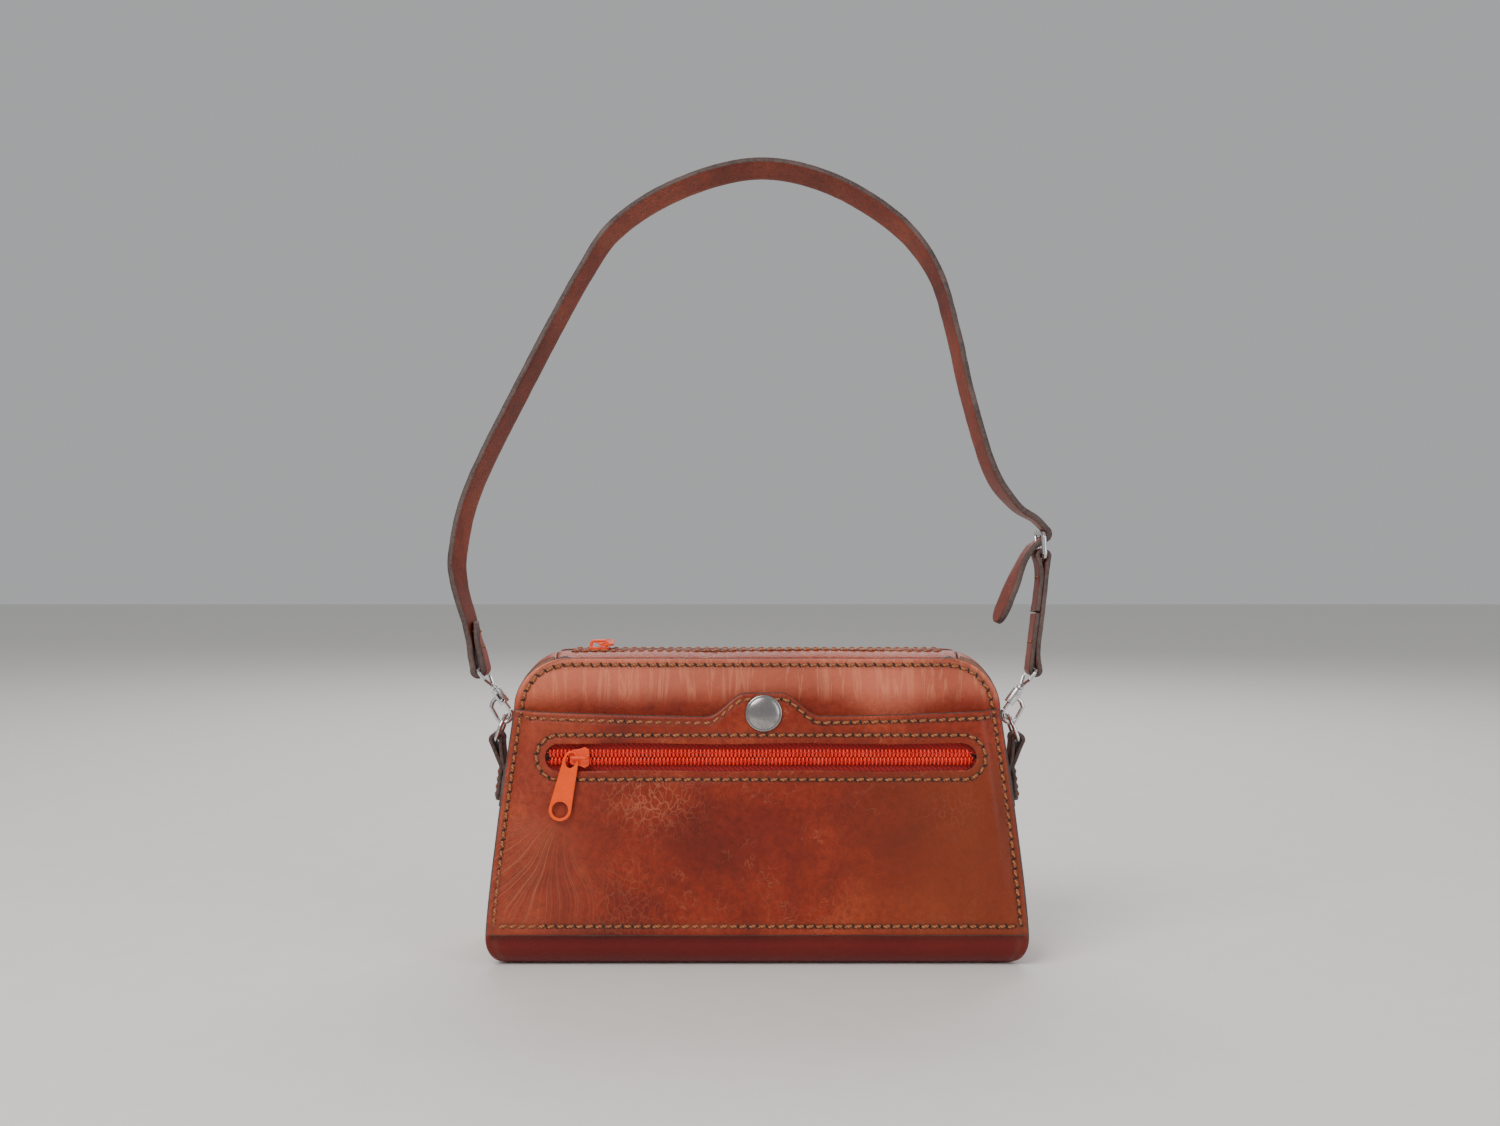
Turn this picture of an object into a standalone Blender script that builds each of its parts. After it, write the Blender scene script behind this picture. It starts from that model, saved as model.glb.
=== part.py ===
"""Small zip-top leather shoulder bag with a front zip pocket and a buckled strap on trigger hooks.

Metres, +Z up. The origin is the middle of the flat base, +X runs to the right and -Y is the front.
"""

import math

import bmesh
import bpy
from mathutils import Matrix, Vector

# Leather body
LEATHER = 0.0020
GAP = 0.0003
TOP_Z = 0.1230
CORNER_Z = 0.1030
CORNER_X = 0.0780
CORNER_R = 0.0200
BASE_HALF = 0.1020
WIDEST_HALF = 0.1090
WIDEST_Z = 0.0120
SHOULDER_HALF = 0.0985
BASE_HALF_DEPTH = 0.0290
TOP_HALF_DEPTH = 0.0185
BASE_RADIUS = 0.0090

# Side gussets and the zip band along the top
GUSSET_INSET = 0.0030
GUSSET_BULGE = 0.0042
GUSSET_THICK = 0.0016
BAND_DROP = 0.0013
BAND_END_ANGLE = 78.0
ZIP_WINDOW_HALF = 0.0044

# Front pocket panel
PANEL_LOW_Z = 0.0133
PANEL_TOP_Z = 0.1004
PANEL_CORNER_RISE = 0.0025
PANEL_BULGE = 0.0034
PANEL_MARGIN = 0.0006
TAB_X = 0.0026
TAB_HALF = 0.0150
TAB_RISE = 0.0095
SLOT_CENTRE_X = 0.0015
SLOT_LENGTH = 0.1730
SLOT_HEIGHT = 0.0108
SLOT_Z = 0.0843

POUCH_LOW_Z = 0.0480
POUCH_TOP_Z = 0.0935
POUCH_HALF = 0.0900

# Snap fastener
SNAP_Z = 0.1018
SNAP_RADIUS = 0.0074

# Zips: heights are measured from the outer face of the leather
CHAIN_HALF_GAP = 0.00055
COIL_WIDTH = 0.0024
COIL_FLOOR = -0.0020
COIL_HEIGHT = 0.0013
TAPE_INNER = 0.0009
TAPE_FLOOR = -0.0028
TAPE_THICK = 0.0005
SLIDER_LENGTH = 0.0080
PLATE_LOW = -0.0004
PLATE_TOP = 0.0008
BACKPLATE_LOW = -0.0039
BACKPLATE_TOP = -0.0031
BRIDGE_HEIGHT = 0.0040
BRIDGE_RADIUS = 0.0007
BRIDGE_HALF = 0.0032
PULL_LOW = 0.0013
PULL_THICK = 0.0010
FRONT_SLIDER_X = -0.0710
TOP_SLIDER_X = -0.0660
TOP_ZIP_Z = 0.1257

# Rings, hooks and strap
RING_WIRE = 0.00095
RING_TILT = math.radians(20)
RING_HALF = 0.0062
RING_DEPTH = 0.0106
RING_BAR_X = 0.1085
RING_BAR_Z = 0.0882
HOOK_LEAN = math.radians(36)
HOOK_THROAT = 0.0066
HOOK_WIRE = 0.00095
WIRE_AT = 0.0112
WIRE_SIDE = 0.0025
BARREL_RADIUS = 0.0022
BOLT_RADIUS = 0.0008
EYE_LENGTH = 0.0105
EYE_HALF = 0.0073
EYE_WIRE = 0.0008
STRAP_WIDTH = 0.0120
STRAP_THICK = 0.0024
SHORT_THICK = 0.0018
STRAP_LEAN = 0.14
LEAN_START_Z = 0.1180
LEAN_EASE = 0.0200
BUCKLE_LOW = (0.1195, 0.1644)
BUCKLE_TOP = (0.1192, 0.1738)
BUCKLE_WIRE = 0.0011

PARTS = "shoulder_bag"
CUTTERS = "cutters"


def clear_scene():
    for obj in list(bpy.data.objects):
        bpy.data.objects.remove(obj, do_unlink=True)
    for name in (PARTS, CUTTERS):
        collection = bpy.data.collections.new(name)
        bpy.context.scene.collection.children.link(collection)


def material(name, colour, roughness, metallic=0.0):
    made = bpy.data.materials.new(name)
    made.use_nodes = True
    shader = made.node_tree.nodes["Principled BSDF"]
    shader.inputs["Base Color"].default_value = (*colour, 1.0)
    shader.inputs["Roughness"].default_value = roughness
    shader.inputs["Metallic"].default_value = metallic
    return made


def add_object(name, data, finish, collection=PARTS):
    obj = bpy.data.objects.new(name, data)
    bpy.data.collections[collection].objects.link(obj)
    if finish is not None:
        data.materials.append(finish)
    return obj


def grid_mesh(name, rows):
    """A surface through rows of points, all rows the same length."""
    build = bmesh.new()
    verts = [[build.verts.new(point) for point in row] for row in rows]
    for low, high in zip(verts, verts[1:]):
        for i in range(len(low) - 1):
            build.faces.new((low[i], low[i + 1], high[i + 1], high[i]))
    mesh = bpy.data.meshes.new(name)
    build.to_mesh(mesh)
    build.free()
    return mesh


def shell(name, rows, thickness, finish):
    """A sheet whose outer face passes through the rows, thickened on the side its normals leave."""
    obj = add_object(name, grid_mesh(name, rows), finish)
    solid = obj.modifiers.new("thickness", "SOLIDIFY")
    solid.thickness = thickness
    solid.offset = -1.0
    solid.use_even_offset = True
    obj.data.shade_smooth()
    return obj


def loft(name, sections, finish, collection=PARTS):
    """A closed solid skinned over sections, each the same number of points round a closed outline."""
    build = bmesh.new()
    rings = [[build.verts.new(point) for point in section] for section in sections]
    count = len(rings[0])
    for low, high in zip(rings, rings[1:]):
        for i in range(count):
            j = (i + 1) % count
            build.faces.new((low[i], low[j], high[j], high[i]))
    build.faces.new(list(reversed(rings[0])))
    build.faces.new(rings[-1])
    bmesh.ops.recalc_face_normals(build, faces=build.faces)
    mesh = bpy.data.meshes.new(name)
    build.to_mesh(mesh)
    build.free()
    return add_object(name, mesh, finish, collection)


def box(name, size, place, finish, collection=PARTS):
    build = bmesh.new()
    bmesh.ops.create_cube(build, size=1.0, matrix=place @ Matrix.Diagonal((*size, 1.0)))
    mesh = bpy.data.meshes.new(name)
    build.to_mesh(mesh)
    build.free()
    return add_object(name, mesh, finish, collection)


def tube(name, points, radius, finish, cyclic=False, sides=2):
    curve = bpy.data.curves.new(name, "CURVE")
    curve.dimensions = "3D"
    curve.bevel_depth = radius
    curve.bevel_resolution = sides
    curve.use_fill_caps = not cyclic
    spline = curve.splines.new("POLY")
    spline.points.add(len(points) - 1)
    for spot, point in zip(spline.points, points):
        spot.co = (*point, 1.0)
    spline.use_cyclic_u = cyclic
    return add_object(name, curve, finish)


def plate(name, outlines, thickness, place, finish, collection=PARTS):
    """A flat piece cut to outlines in its own XY plane, the later ones being holes."""
    curve = bpy.data.curves.new(name, "CURVE")
    curve.dimensions = "2D"
    curve.fill_mode = "BOTH"
    curve.extrude = thickness / 2
    for outline in outlines:
        spline = curve.splines.new("POLY")
        spline.points.add(len(outline) - 1)
        for spot, (x, y) in zip(spline.points, outline):
            spot.co = (x, y, 0.0, 1.0)
        spline.use_cyclic_u = True
    obj = add_object(name, curve, finish, collection)
    obj.matrix_world = place
    return as_mesh(obj)


def turned(name, profile, place, finish, steps=20):
    """A solid turned about its own Z; the profile runs down its outer side."""
    mesh = bpy.data.meshes.new(name)
    edges = [(i, i + 1) for i in range(len(profile) - 1)]
    if profile[0][0] > 0:
        edges.append((len(profile) - 1, 0))
    mesh.from_pydata([(radius, 0.0, height) for radius, height in profile], edges, [])
    obj = add_object(name, mesh, finish)
    screw = obj.modifiers.new("turn", "SCREW")
    screw.steps = steps
    screw.render_steps = steps
    screw.use_merge_vertices = True
    screw.merge_threshold = 0.00001
    obj.matrix_world = place
    return as_mesh(obj)


def as_mesh(obj):
    """The evaluated shape of an object as a plain mesh object of the same name and place."""
    bpy.context.view_layer.update()
    graph = bpy.context.evaluated_depsgraph_get()
    mesh = bpy.data.meshes.new_from_object(obj.evaluated_get(graph))
    build = bmesh.new()
    build.from_mesh(mesh)
    bmesh.ops.remove_doubles(build, verts=build.verts, dist=0.000002)
    bmesh.ops.recalc_face_normals(build, faces=build.faces)
    build.to_mesh(mesh)
    build.free()
    name = obj.name
    place = obj.matrix_world.copy()
    collection = obj.users_collection[0].name
    bpy.data.objects.remove(obj, do_unlink=True)
    made = add_object(name, mesh, None, collection)
    made.matrix_world = place
    return made


def boolean(obj, other, operation):
    step = obj.modifiers.new(operation.lower(), "BOOLEAN")
    step.operation = operation
    step.object = other
    other.hide_render = True
    other.display_type = "WIRE"
    for collection in list(other.users_collection):
        collection.objects.unlink(other)
    bpy.data.collections[CUTTERS].objects.link(other)
    return obj


def half_width(z):
    """Half the width of the front and back panels at a height."""
    if z < WIDEST_Z:
        drop = (WIDEST_Z - z) / WIDEST_Z
        return BASE_HALF + (WIDEST_HALF - BASE_HALF) * math.sqrt(max(0.0, 1 - drop * drop))
    if z <= CORNER_Z:
        rise = (z - WIDEST_Z) / (CORNER_Z - WIDEST_Z)
        return WIDEST_HALF - (WIDEST_HALF - SHOULDER_HALF) * rise**1.25
    rise = min(1.0, (z - CORNER_Z) / CORNER_R)
    return CORNER_X + (SHOULDER_HALF - CORNER_X) * math.sqrt(1 - rise * rise)


def half_depth(z):
    """Half the depth of the body at a height, to the outer face of its front or back."""
    rise = max(0.0, z - PANEL_LOW_Z) / (TOP_Z - PANEL_LOW_Z)
    return BASE_HALF_DEPTH - (BASE_HALF_DEPTH - TOP_HALF_DEPTH) * rise


def inner_half_depth(z):
    """Half the clear depth inside the body, following the rounded bottom edge."""
    if z < BASE_RADIUS:
        radius = BASE_RADIUS - LEATHER
        drop = min(1.0, (BASE_RADIUS - z) / radius)
        return BASE_HALF_DEPTH - BASE_RADIUS + radius * math.sqrt(1 - drop * drop)
    return half_depth(z) - LEATHER


def spread(low, high, count):
    return [low + (high - low) * i / (count - 1) for i in range(count)]


def smooth(value):
    value = min(1.0, max(0.0, value))
    return value * value * (3 - 2 * value)


def heights_to_top(low):
    """Heights from low to the top edge, closer together round the top corners."""
    straight = spread(low, CORNER_Z, 9)
    corner = [CORNER_Z + CORNER_R * math.sin(math.radians(15 * i)) for i in range(1, 7)]
    return straight + corner


def body_profile():
    """(y, z) down the front, under the base and up the back."""
    front = [(-half_depth(z), z) for z in reversed(heights_to_top(0.0125))]
    bend = BASE_HALF_DEPTH - BASE_RADIUS
    for i in range(6):
        angle = math.radians(18 * i)
        front.append((-bend - BASE_RADIUS * math.cos(angle), BASE_RADIUS * (1 - math.sin(angle))))
    under = [(-bend / 2, 0.0), (0.0, 0.0)]
    back = [(-y, z) for y, z in reversed(front + under[:1])]
    return front + under + back


def make_body_wrap(finish):
    rows = []
    for y, z in body_profile():
        rows.append([(half_width(z) * u, y, z) for u in spread(1.0, -1.0, 11)])
    shell("body_wrap", rows, LEATHER, finish)


def panel_top(x):
    """Height of the pocket's mouth: level, rising to the sides and over the snap tab."""
    side = PANEL_CORNER_RISE * (abs(x) / 0.1) ** 2
    tab = TAB_RISE * smooth(1.45 - abs(x - TAB_X) / TAB_HALF * 0.95)
    return PANEL_TOP_Z + side + tab


def panel_depth(x, z):
    """Distance of the panel's outer face in front of the middle plane."""
    side = smooth((half_width(z) - 0.0035 - abs(x)) / 0.006)
    belly = smooth((z - PANEL_LOW_Z - 0.005) / 0.045)
    return half_depth(z) + GAP + LEATHER + PANEL_BULGE * side * belly


def panel_columns():
    """Positions across the panel, closer together over the snap tab and at both sides."""
    middle = [TAB_X + TAB_HALF * 0.2 * i for i in range(-8, 9)]
    left = [-0.97, -0.92, -0.87, -0.8, -0.65, -0.5, -0.35]
    return [u * 0.1 for u in [-1.0] + left] + middle + [-u * 0.1 for u in reversed([-1.0] + left)]


def make_pocket_panel(finish):
    rows = []
    for v in spread(0.0, 1.0, 13):
        row = []
        for column in panel_columns():
            z = PANEL_LOW_Z + (panel_top(column) - PANEL_LOW_Z) * v
            x = column / 0.1 * (half_width(z) - PANEL_MARGIN)
            if abs(column - TAB_X) <= TAB_HALF * 1.61:
                x = column
            row.append((x, -panel_depth(x, z), z))
        rows.append(row)
    panel = shell("pocket_panel", rows, LEATHER, finish)
    cutter = plate("slot_cutter", [stadium(SLOT_LENGTH, SLOT_HEIGHT)], 0.008, front_zip_place(), None, CUTTERS)
    boolean(panel, cutter, "DIFFERENCE")


def stadium(length, height):
    """A slot outline with round ends, centred."""
    radius = height / 2
    reach = length / 2 - radius
    points = []
    for side in (1, -1):
        for i in range(9):
            angle = math.radians(-90 + 22.5 * i)
            points.append((side * (reach + radius * math.cos(angle)), side * radius * math.sin(angle)))
    return points


def basis(origin, across, normal):
    """A frame whose X lies along the zip, Y across it and Z out of the leather."""
    along = across.cross(normal)
    place = Matrix((along, across, normal)).transposed().to_4x4()
    place.translation = origin
    return place


def front_lean():
    return math.atan((BASE_HALF_DEPTH - TOP_HALF_DEPTH) / (TOP_Z - PANEL_LOW_Z))


def front_zip_place():
    lean = front_lean()
    across = Vector((0.0, math.sin(lean), math.cos(lean)))
    normal = Vector((0.0, -math.cos(lean), math.sin(lean)))
    return basis(Vector((SLOT_CENTRE_X, -panel_depth(0.0, SLOT_Z), SLOT_Z)), across, normal)


def top_zip_place():
    return basis(Vector((0.0, 0.0, TOP_ZIP_Z)), Vector((0.0, -1.0, 0.0)), Vector((0.0, 0.0, 1.0)))


def local_box(name, low, high, place, finish):
    """A box between two corners given in the frame of place."""
    size = [b - a for a, b in zip(low, high)]
    middle = [(a + b) / 2 for a, b in zip(low, high)]
    return box(name, size, place @ Matrix.Translation(middle), finish)


def make_chain(names, place, half_lengths, tape_reach, finishes):
    """Two tapes with a row of coil on each, parted by the width of the slider's post."""
    tape_finish, coil_finish = finishes
    tape_half, coil_half = half_lengths
    for side, (tape, coil) in zip((1, -1), names):
        for name, half, inner, outer, floor, height, finish in (
            (tape, tape_half, TAPE_INNER, tape_reach, TAPE_FLOOR, TAPE_THICK, tape_finish),
            (coil, coil_half, CHAIN_HALF_GAP, CHAIN_HALF_GAP + COIL_WIDTH, COIL_FLOOR, COIL_HEIGHT, coil_finish),
        ):
            edges = sorted((side * inner, side * outer))
            low = (-half, edges[0], floor)
            high = (half, edges[1], floor + height)
            local_box(name, low, high, place, finish)


def slider_outline(scale):
    half = SLIDER_LENGTH / 2 * scale
    wide = 0.0042 * scale
    slim = 0.0030 * scale
    bend = 0.0010
    return [
        (-half, -slim + bend), (-half + bend, -slim), (0.0, -slim - 0.0004), (half - 0.002, -wide),
        (half - 0.0004, -wide + bend), (half, 0.0), (half - 0.0004, wide - bend), (half - 0.002, wide),
        (0.0, slim + 0.0004), (-half + bend, slim), (-half, slim - bend),
    ]


def bridge_points():
    """The slider's bridge: up, over and down, along the zip."""
    top = BRIDGE_HEIGHT - BRIDGE_RADIUS
    low = PLATE_TOP - 0.0004
    return [
        (-BRIDGE_HALF, 0.0, low), (-BRIDGE_HALF, 0.0, top - 0.0008), (-BRIDGE_HALF + 0.0008, 0.0, top),
        (BRIDGE_HALF - 0.0008, 0.0, top), (BRIDGE_HALF, 0.0, top - 0.0008), (BRIDGE_HALF, 0.0, low),
    ]


def make_slider(name, place, finish):
    middle = (PLATE_LOW + PLATE_TOP) / 2
    body = plate(name, [slider_outline(1.0)], PLATE_TOP - PLATE_LOW, place @ Matrix.Translation((0, 0, middle)), finish)
    middle = (BACKPLATE_LOW + BACKPLATE_TOP) / 2
    thick = BACKPLATE_TOP - BACKPLATE_LOW
    back = plate(name + "_back", [slider_outline(0.95)], thick, place @ Matrix.Translation((0, 0, middle)), finish)
    low = (-0.0010, -0.00028, BACKPLATE_TOP - 0.0003)
    post = local_box(name + "_post", low, (0.0030, 0.00028, PLATE_LOW + 0.0003), place, finish)
    bridge = tube(name + "_bridge", bridge_points(), BRIDGE_RADIUS, finish)
    bridge.matrix_world = place
    for piece in (back, post, as_mesh(bridge)):
        boolean(body, piece, "UNION")
    return body


def ring_arc(centre, radius_x, radius_y, count, turn=1):
    """Points round an oval, turning left for an outline and right for a hole."""
    return [
        (
            centre[0] + radius_x * math.cos(turn * math.tau * i / count),
            centre[1] + radius_y * math.sin(turn * math.tau * i / count),
        )
        for i in range(count)
    ]


def pull_outline():
    """A tapered tongue hanging from the middle of its upper eye."""
    points = []
    for centre_y, radius in ((0.0, 0.0031), (-0.0200, 0.0045)):
        for i in range(9):
            angle = math.radians(22.5 * i) if centre_y == 0.0 else math.radians(180 + 22.5 * i)
            stretch = 1.25 if centre_y == 0.0 else 1.0
            points.append((radius * math.cos(angle), centre_y + radius * stretch * math.sin(angle)))
    return points


def make_pull(name, place, tilt, finish):
    """The puller's eye hangs over the near foot of the bridge."""
    hinge = place @ Matrix.Translation((-BRIDGE_HALF, 0.0, PULL_LOW + PULL_THICK / 2))
    hang = hinge @ Matrix.Rotation(tilt, 4, "Z") @ Matrix.Translation((0.0, -0.0012, 0.0))
    holes = [ring_arc((0.0, 0.0), 0.0021, 0.0031, 14, -1), ring_arc((0.0, -0.0200), 0.0033, 0.0033, 16, -1)]
    return plate(name, [pull_outline()] + holes, PULL_THICK, hang, finish)


def band_station(angle):
    """(x, z, normal x, normal z) round a top corner; 0 is its outer side, 90 its top."""
    turn = math.radians(angle)
    x = CORNER_X + (SHOULDER_HALF - CORNER_X - GUSSET_INSET) * math.cos(turn)
    z = CORNER_Z + (CORNER_R - BAND_DROP) * math.sin(turn)
    return x, z, math.cos(turn), math.sin(turn)


def bulged_row(station, cross):
    """Points across the body at one station, swelling out between its front and back."""
    x, z, out_x, out_z = station
    half = inner_half_depth(z) - GAP
    swell = GUSSET_BULGE * smooth(z / 0.020)
    row = []
    for v in cross(half):
        push = swell * (1 - (v / half) ** 2)
        row.append((x + out_x * push, v, z + out_z * push))
    return row


def make_gusset(name, side, finish):
    stations = []
    for z in (0.0024, 0.0045, 0.0075, 0.0115, 0.018, 0.030, 0.045, 0.060, 0.075, 0.090, CORNER_Z):
        stations.append((half_width(z) - GUSSET_INSET, z, 1.0, 0.0))
    for angle in (15, 30, 45, 60, BAND_END_ANGLE - 2):
        stations.append(band_station(angle))
    rows = [bulged_row(station, lambda half: spread(-half, half, 9)) for station in stations]
    rows = [[(side * x, y, z) for x, y, z in row] for row in rows]
    if side > 0:
        rows = [row[::-1] for row in rows]
    shell(name, rows[::-1], GUSSET_THICK, finish)


def make_top_strip(name, front, finish):
    stations = []
    for angle in (BAND_END_ANGLE, 90):
        stations.append(band_station(angle))
    for x in spread(0.065, 0.0, 5):
        stations.append((x, CORNER_Z + CORNER_R - BAND_DROP, 0.0, 1.0))
    stations += [(-x, z, -out_x, out_z) for x, z, out_x, out_z in reversed(stations[:-1])]
    rows = []
    for station in stations:
        row = bulged_row(station, lambda half: spread(ZIP_WINDOW_HALF, half, 4))
        rows.append([(x, -front * y, z) for x, y, z in row])
    if front > 0:
        rows = [row[::-1] for row in rows]
    shell(name, rows, GUSSET_THICK, finish)


def make_snap(finishes):
    """Cap and socket either side of the tab, with the stud and its washer on the body behind."""
    metal, dark = finishes
    lean = front_lean()
    normal = Vector((0.0, -math.cos(lean), math.sin(lean)))
    across = Vector((0.0, math.sin(lean), math.cos(lean)))
    outer = Vector((TAB_X, -panel_depth(TAB_X, SNAP_Z), SNAP_Z))
    face = basis(outer, across, normal)
    dome = [(0.0, 0.0021), (0.003, 0.0019), (0.0055, 0.0014), (SNAP_RADIUS, 0.0007), (SNAP_RADIUS, GAP), (0.0, GAP)]
    turned("snap_cap", dome, face, metal, 24)
    inside = -LEATHER - GAP
    socket = [(0.0050, inside), (0.0050, inside - 0.0012), (0.0022, inside - 0.0012), (0.0022, inside)]
    turned("snap_socket", socket, face, dark, 18)
    base = inside - PANEL_BULGE + GAP
    stud = [(0.0, base + 0.0019), (0.0017, base + 0.0017), (0.0019, base + 0.0010), (0.0015, base + 0.0006),
            (0.0045, base + 0.0004), (0.0045, base), (0.0, base)]
    turned("snap_stud", stud, face, dark, 18)
    under = base - LEATHER - 2 * GAP
    washer = [(0.0, under), (0.0045, under), (0.0045, under - 0.0008), (0.0, under - 0.0010)]
    turned("snap_washer", washer, face, dark, 18)


def make_pouch(finish):
    """The flat bag hanging behind the front zip, between the panel and the body."""
    rows = []
    for v in spread(0.0, 1.0, 5):
        z = POUCH_LOW_Z + (POUCH_TOP_Z - POUCH_LOW_Z) * v
        row = []
        for x in spread(-POUCH_HALF, POUCH_HALF, 9):
            row.append((x, -half_depth(z) - GAP - 0.0006, z))
        rows.append(row)
    shell("zip_pouch", rows, 0.0005, finish)


def make_base_board(finish):
    size = (0.190, 0.036, 0.0015)
    place = Matrix.Translation((0.0, 0.0, LEATHER + GAP + size[2] / 2))
    box("base_board", size, place, finish)


def ring_frame(side):
    """The ring's own frame: Y along the bar, Z up the ring, from the middle of its bar."""
    up = Vector((-side * math.sin(RING_TILT), 0.0, math.cos(RING_TILT)))
    along = Vector((0.0, 1.0, 0.0))
    place = Matrix((along.cross(up), along, up)).transposed().to_4x4()
    place.translation = Vector((side * RING_BAR_X, 0.0, RING_BAR_Z))
    return place


def make_ring(name, side, finish):
    """A D ring: a straight bar with an arc over it."""
    centre = RING_DEPTH - RING_HALF
    points = [(0.0, -RING_HALF + 0.0012, 0.0), (0.0, RING_HALF - 0.0012, 0.0), (0.0, RING_HALF, 0.0012)]
    for i in range(11):
        angle = math.radians(18 * i)
        points.append((0.0, RING_HALF * math.cos(angle), centre + RING_HALF * math.sin(angle)))
    points.append((0.0, -RING_HALF, 0.0012))
    obj = tube(name, points, RING_WIRE, finish, cyclic=True)
    obj.matrix_world = ring_frame(side)
    return obj


def make_ring_tab(name, side, finish):
    """A leather strap end sewn to the gusset and folded round the ring's bar."""
    bar_x = RING_BAR_X
    bar_z = RING_BAR_Z
    outer = RING_WIRE + GAP + 0.0017
    outline = []
    for z in (0.0610, 0.0660, 0.0710, 0.0750):
        outline.append((gusset_face(z) + GAP, z))
    outline_out = [(x + 0.0034, z) for x, z in outline]
    loop = [
        (bar_x + outer * math.cos(math.radians(a)), bar_z + outer * math.sin(math.radians(a)))
        for a in range(-30, 211, 24)
    ]
    outline = outline_out + loop + outline[::-1]
    hole = ring_arc((bar_x, bar_z), RING_WIRE + GAP, RING_WIRE + GAP, 12, -1)
    turn = Matrix.Rotation(math.radians(90), 4, "X")
    if side < 0:
        outline = [(-x, z) for x, z in reversed(outline)]
        hole = [(-x, z) for x, z in reversed(hole)]
    plate(name, [outline, hole], 0.0095, turn, finish)


def gusset_face(z):
    return half_width(z) - GUSSET_INSET + GUSSET_BULGE * smooth(z / 0.020)


def hook_frame(side):
    """The hook's frame: Z down its barrel from the swivel, X out towards its arm."""
    down = Vector((-side * math.sin(HOOK_LEAN), 0.0, -math.cos(HOOK_LEAN)))
    out = Vector((side * math.cos(HOOK_LEAN), 0.0, -math.sin(HOOK_LEAN)))
    wire = ring_frame(side) @ Vector((0.0, 0.0, RING_DEPTH))
    place = Matrix((out, down.cross(out), down)).transposed().to_4x4()
    place.translation = wire - out * WIRE_SIDE - down * WIRE_AT
    return place


def hook_arm():
    """The arm's wire: out of the barrel, down and round to meet the bolt's end."""
    points = [(0.0019, 0.0, 0.0032), (0.0040, 0.0, 0.0036), (0.0058, 0.0, 0.0050)]
    middle = HOOK_THROAT / 2
    for i in range(11):
        angle = math.radians(18 * i)
        points.append((middle + middle * math.cos(angle), 0.0, 0.0106 + middle * math.sin(angle)))
    return points


def make_hook(name, side, finish):
    place = hook_frame(side)
    wall = BARREL_RADIUS
    bore = 0.0017
    profile = [(wall, 0.0070), (wall, 0.0), (0.00115, 0.0), (0.00115, 0.0012), (bore, 0.0012), (bore, 0.0062),
               (0.00115, 0.0062), (0.00115, 0.0070)]
    body = turned(name, profile, place, finish, 16)
    arm = tube(name + "_arm", hook_arm(), HOOK_WIRE, finish)
    arm.matrix_world = place
    boolean(body, as_mesh(arm), "UNION")
    slot = box(name + "_slot", (0.0014, 0.0030, 0.0040), place @ Matrix.Translation((0, -0.0022, 0.0040)), None, CUTTERS)
    boolean(body, slot, "DIFFERENCE")


def make_trigger(name, side, finish):
    place = hook_frame(side)
    profile = [(0.0, 0.0102), (BOLT_RADIUS, 0.0102), (BOLT_RADIUS, 0.0058), (0.0014, 0.0058), (0.0014, 0.0045),
               (0.0, 0.0045)]
    bolt = turned(name, profile, place, finish, 12)
    knob = tube(name + "_knob", [(0, -0.0006, 0.0052), (0, -0.0034, 0.0052)], 0.00055, finish)
    knob.matrix_world = place
    boolean(bolt, as_mesh(knob), "UNION")


def make_swivel_eye(name, side, finish):
    place = hook_frame(side)
    points = [(0.0, -0.0014, -0.0022), (0.0, 0.0014, -0.0022), (0.0, EYE_HALF, -EYE_LENGTH + 0.0046),
              (0.0, EYE_HALF, -EYE_LENGTH + 0.0012), (0.0, EYE_HALF - 0.0012, -EYE_LENGTH),
              (0.0, -EYE_HALF + 0.0012, -EYE_LENGTH), (0.0, -EYE_HALF, -EYE_LENGTH + 0.0012),
              (0.0, -EYE_HALF, -EYE_LENGTH + 0.0046)]
    loop = tube(name, points, EYE_WIRE, finish, cyclic=True)
    loop.matrix_world = place
    loop = as_mesh(loop)
    profile = [(0.0, 0.0021), (0.0014, 0.0021), (0.0014, 0.0015), (0.0008, 0.0015), (0.0008, -0.0004),
               (0.0016, -0.0004), (0.0016, -0.0016), (0.0, -0.0022)]
    stem = turned(name + "_stem", profile, place, finish, 14)
    boolean(loop, stem, "UNION")
    return loop


def lean_back(z):
    """How far behind the middle plane the strap stands at a height."""
    rise = max(0.0, z - LEAN_START_Z)
    return STRAP_LEAN * (rise - LEAN_EASE * (1 - math.exp(-rise / LEAN_EASE)))


def through(points, spacing):
    """A smooth curve through points in the XZ plane, sampled about every spacing."""
    ends = [points[0]] + list(points) + [points[-1]]
    made = []
    for before, start, end, after in zip(ends, ends[1:], ends[2:], ends[3:]):
        steps = max(2, round(math.dist(start, end) / spacing))
        for i in range(steps):
            t = i / steps
            made.append(tuple(
                0.5 * (2 * b + (c - a) * t + (2 * a - 5 * b + 4 * c - d) * t * t + (3 * b - a - 3 * c + d) * t**3)
                for a, b, c, d in zip(before, start, end, after)
            ))
    return made + [points[-1]]


def fold(bar, radius, start, end, count=9):
    """Points round a bar between two angles in degrees."""
    return [
        (bar[0] + radius * math.cos(math.radians(a)), bar[1] + radius * math.sin(math.radians(a)))
        for a in spread(start, end, count)
    ]


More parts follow.
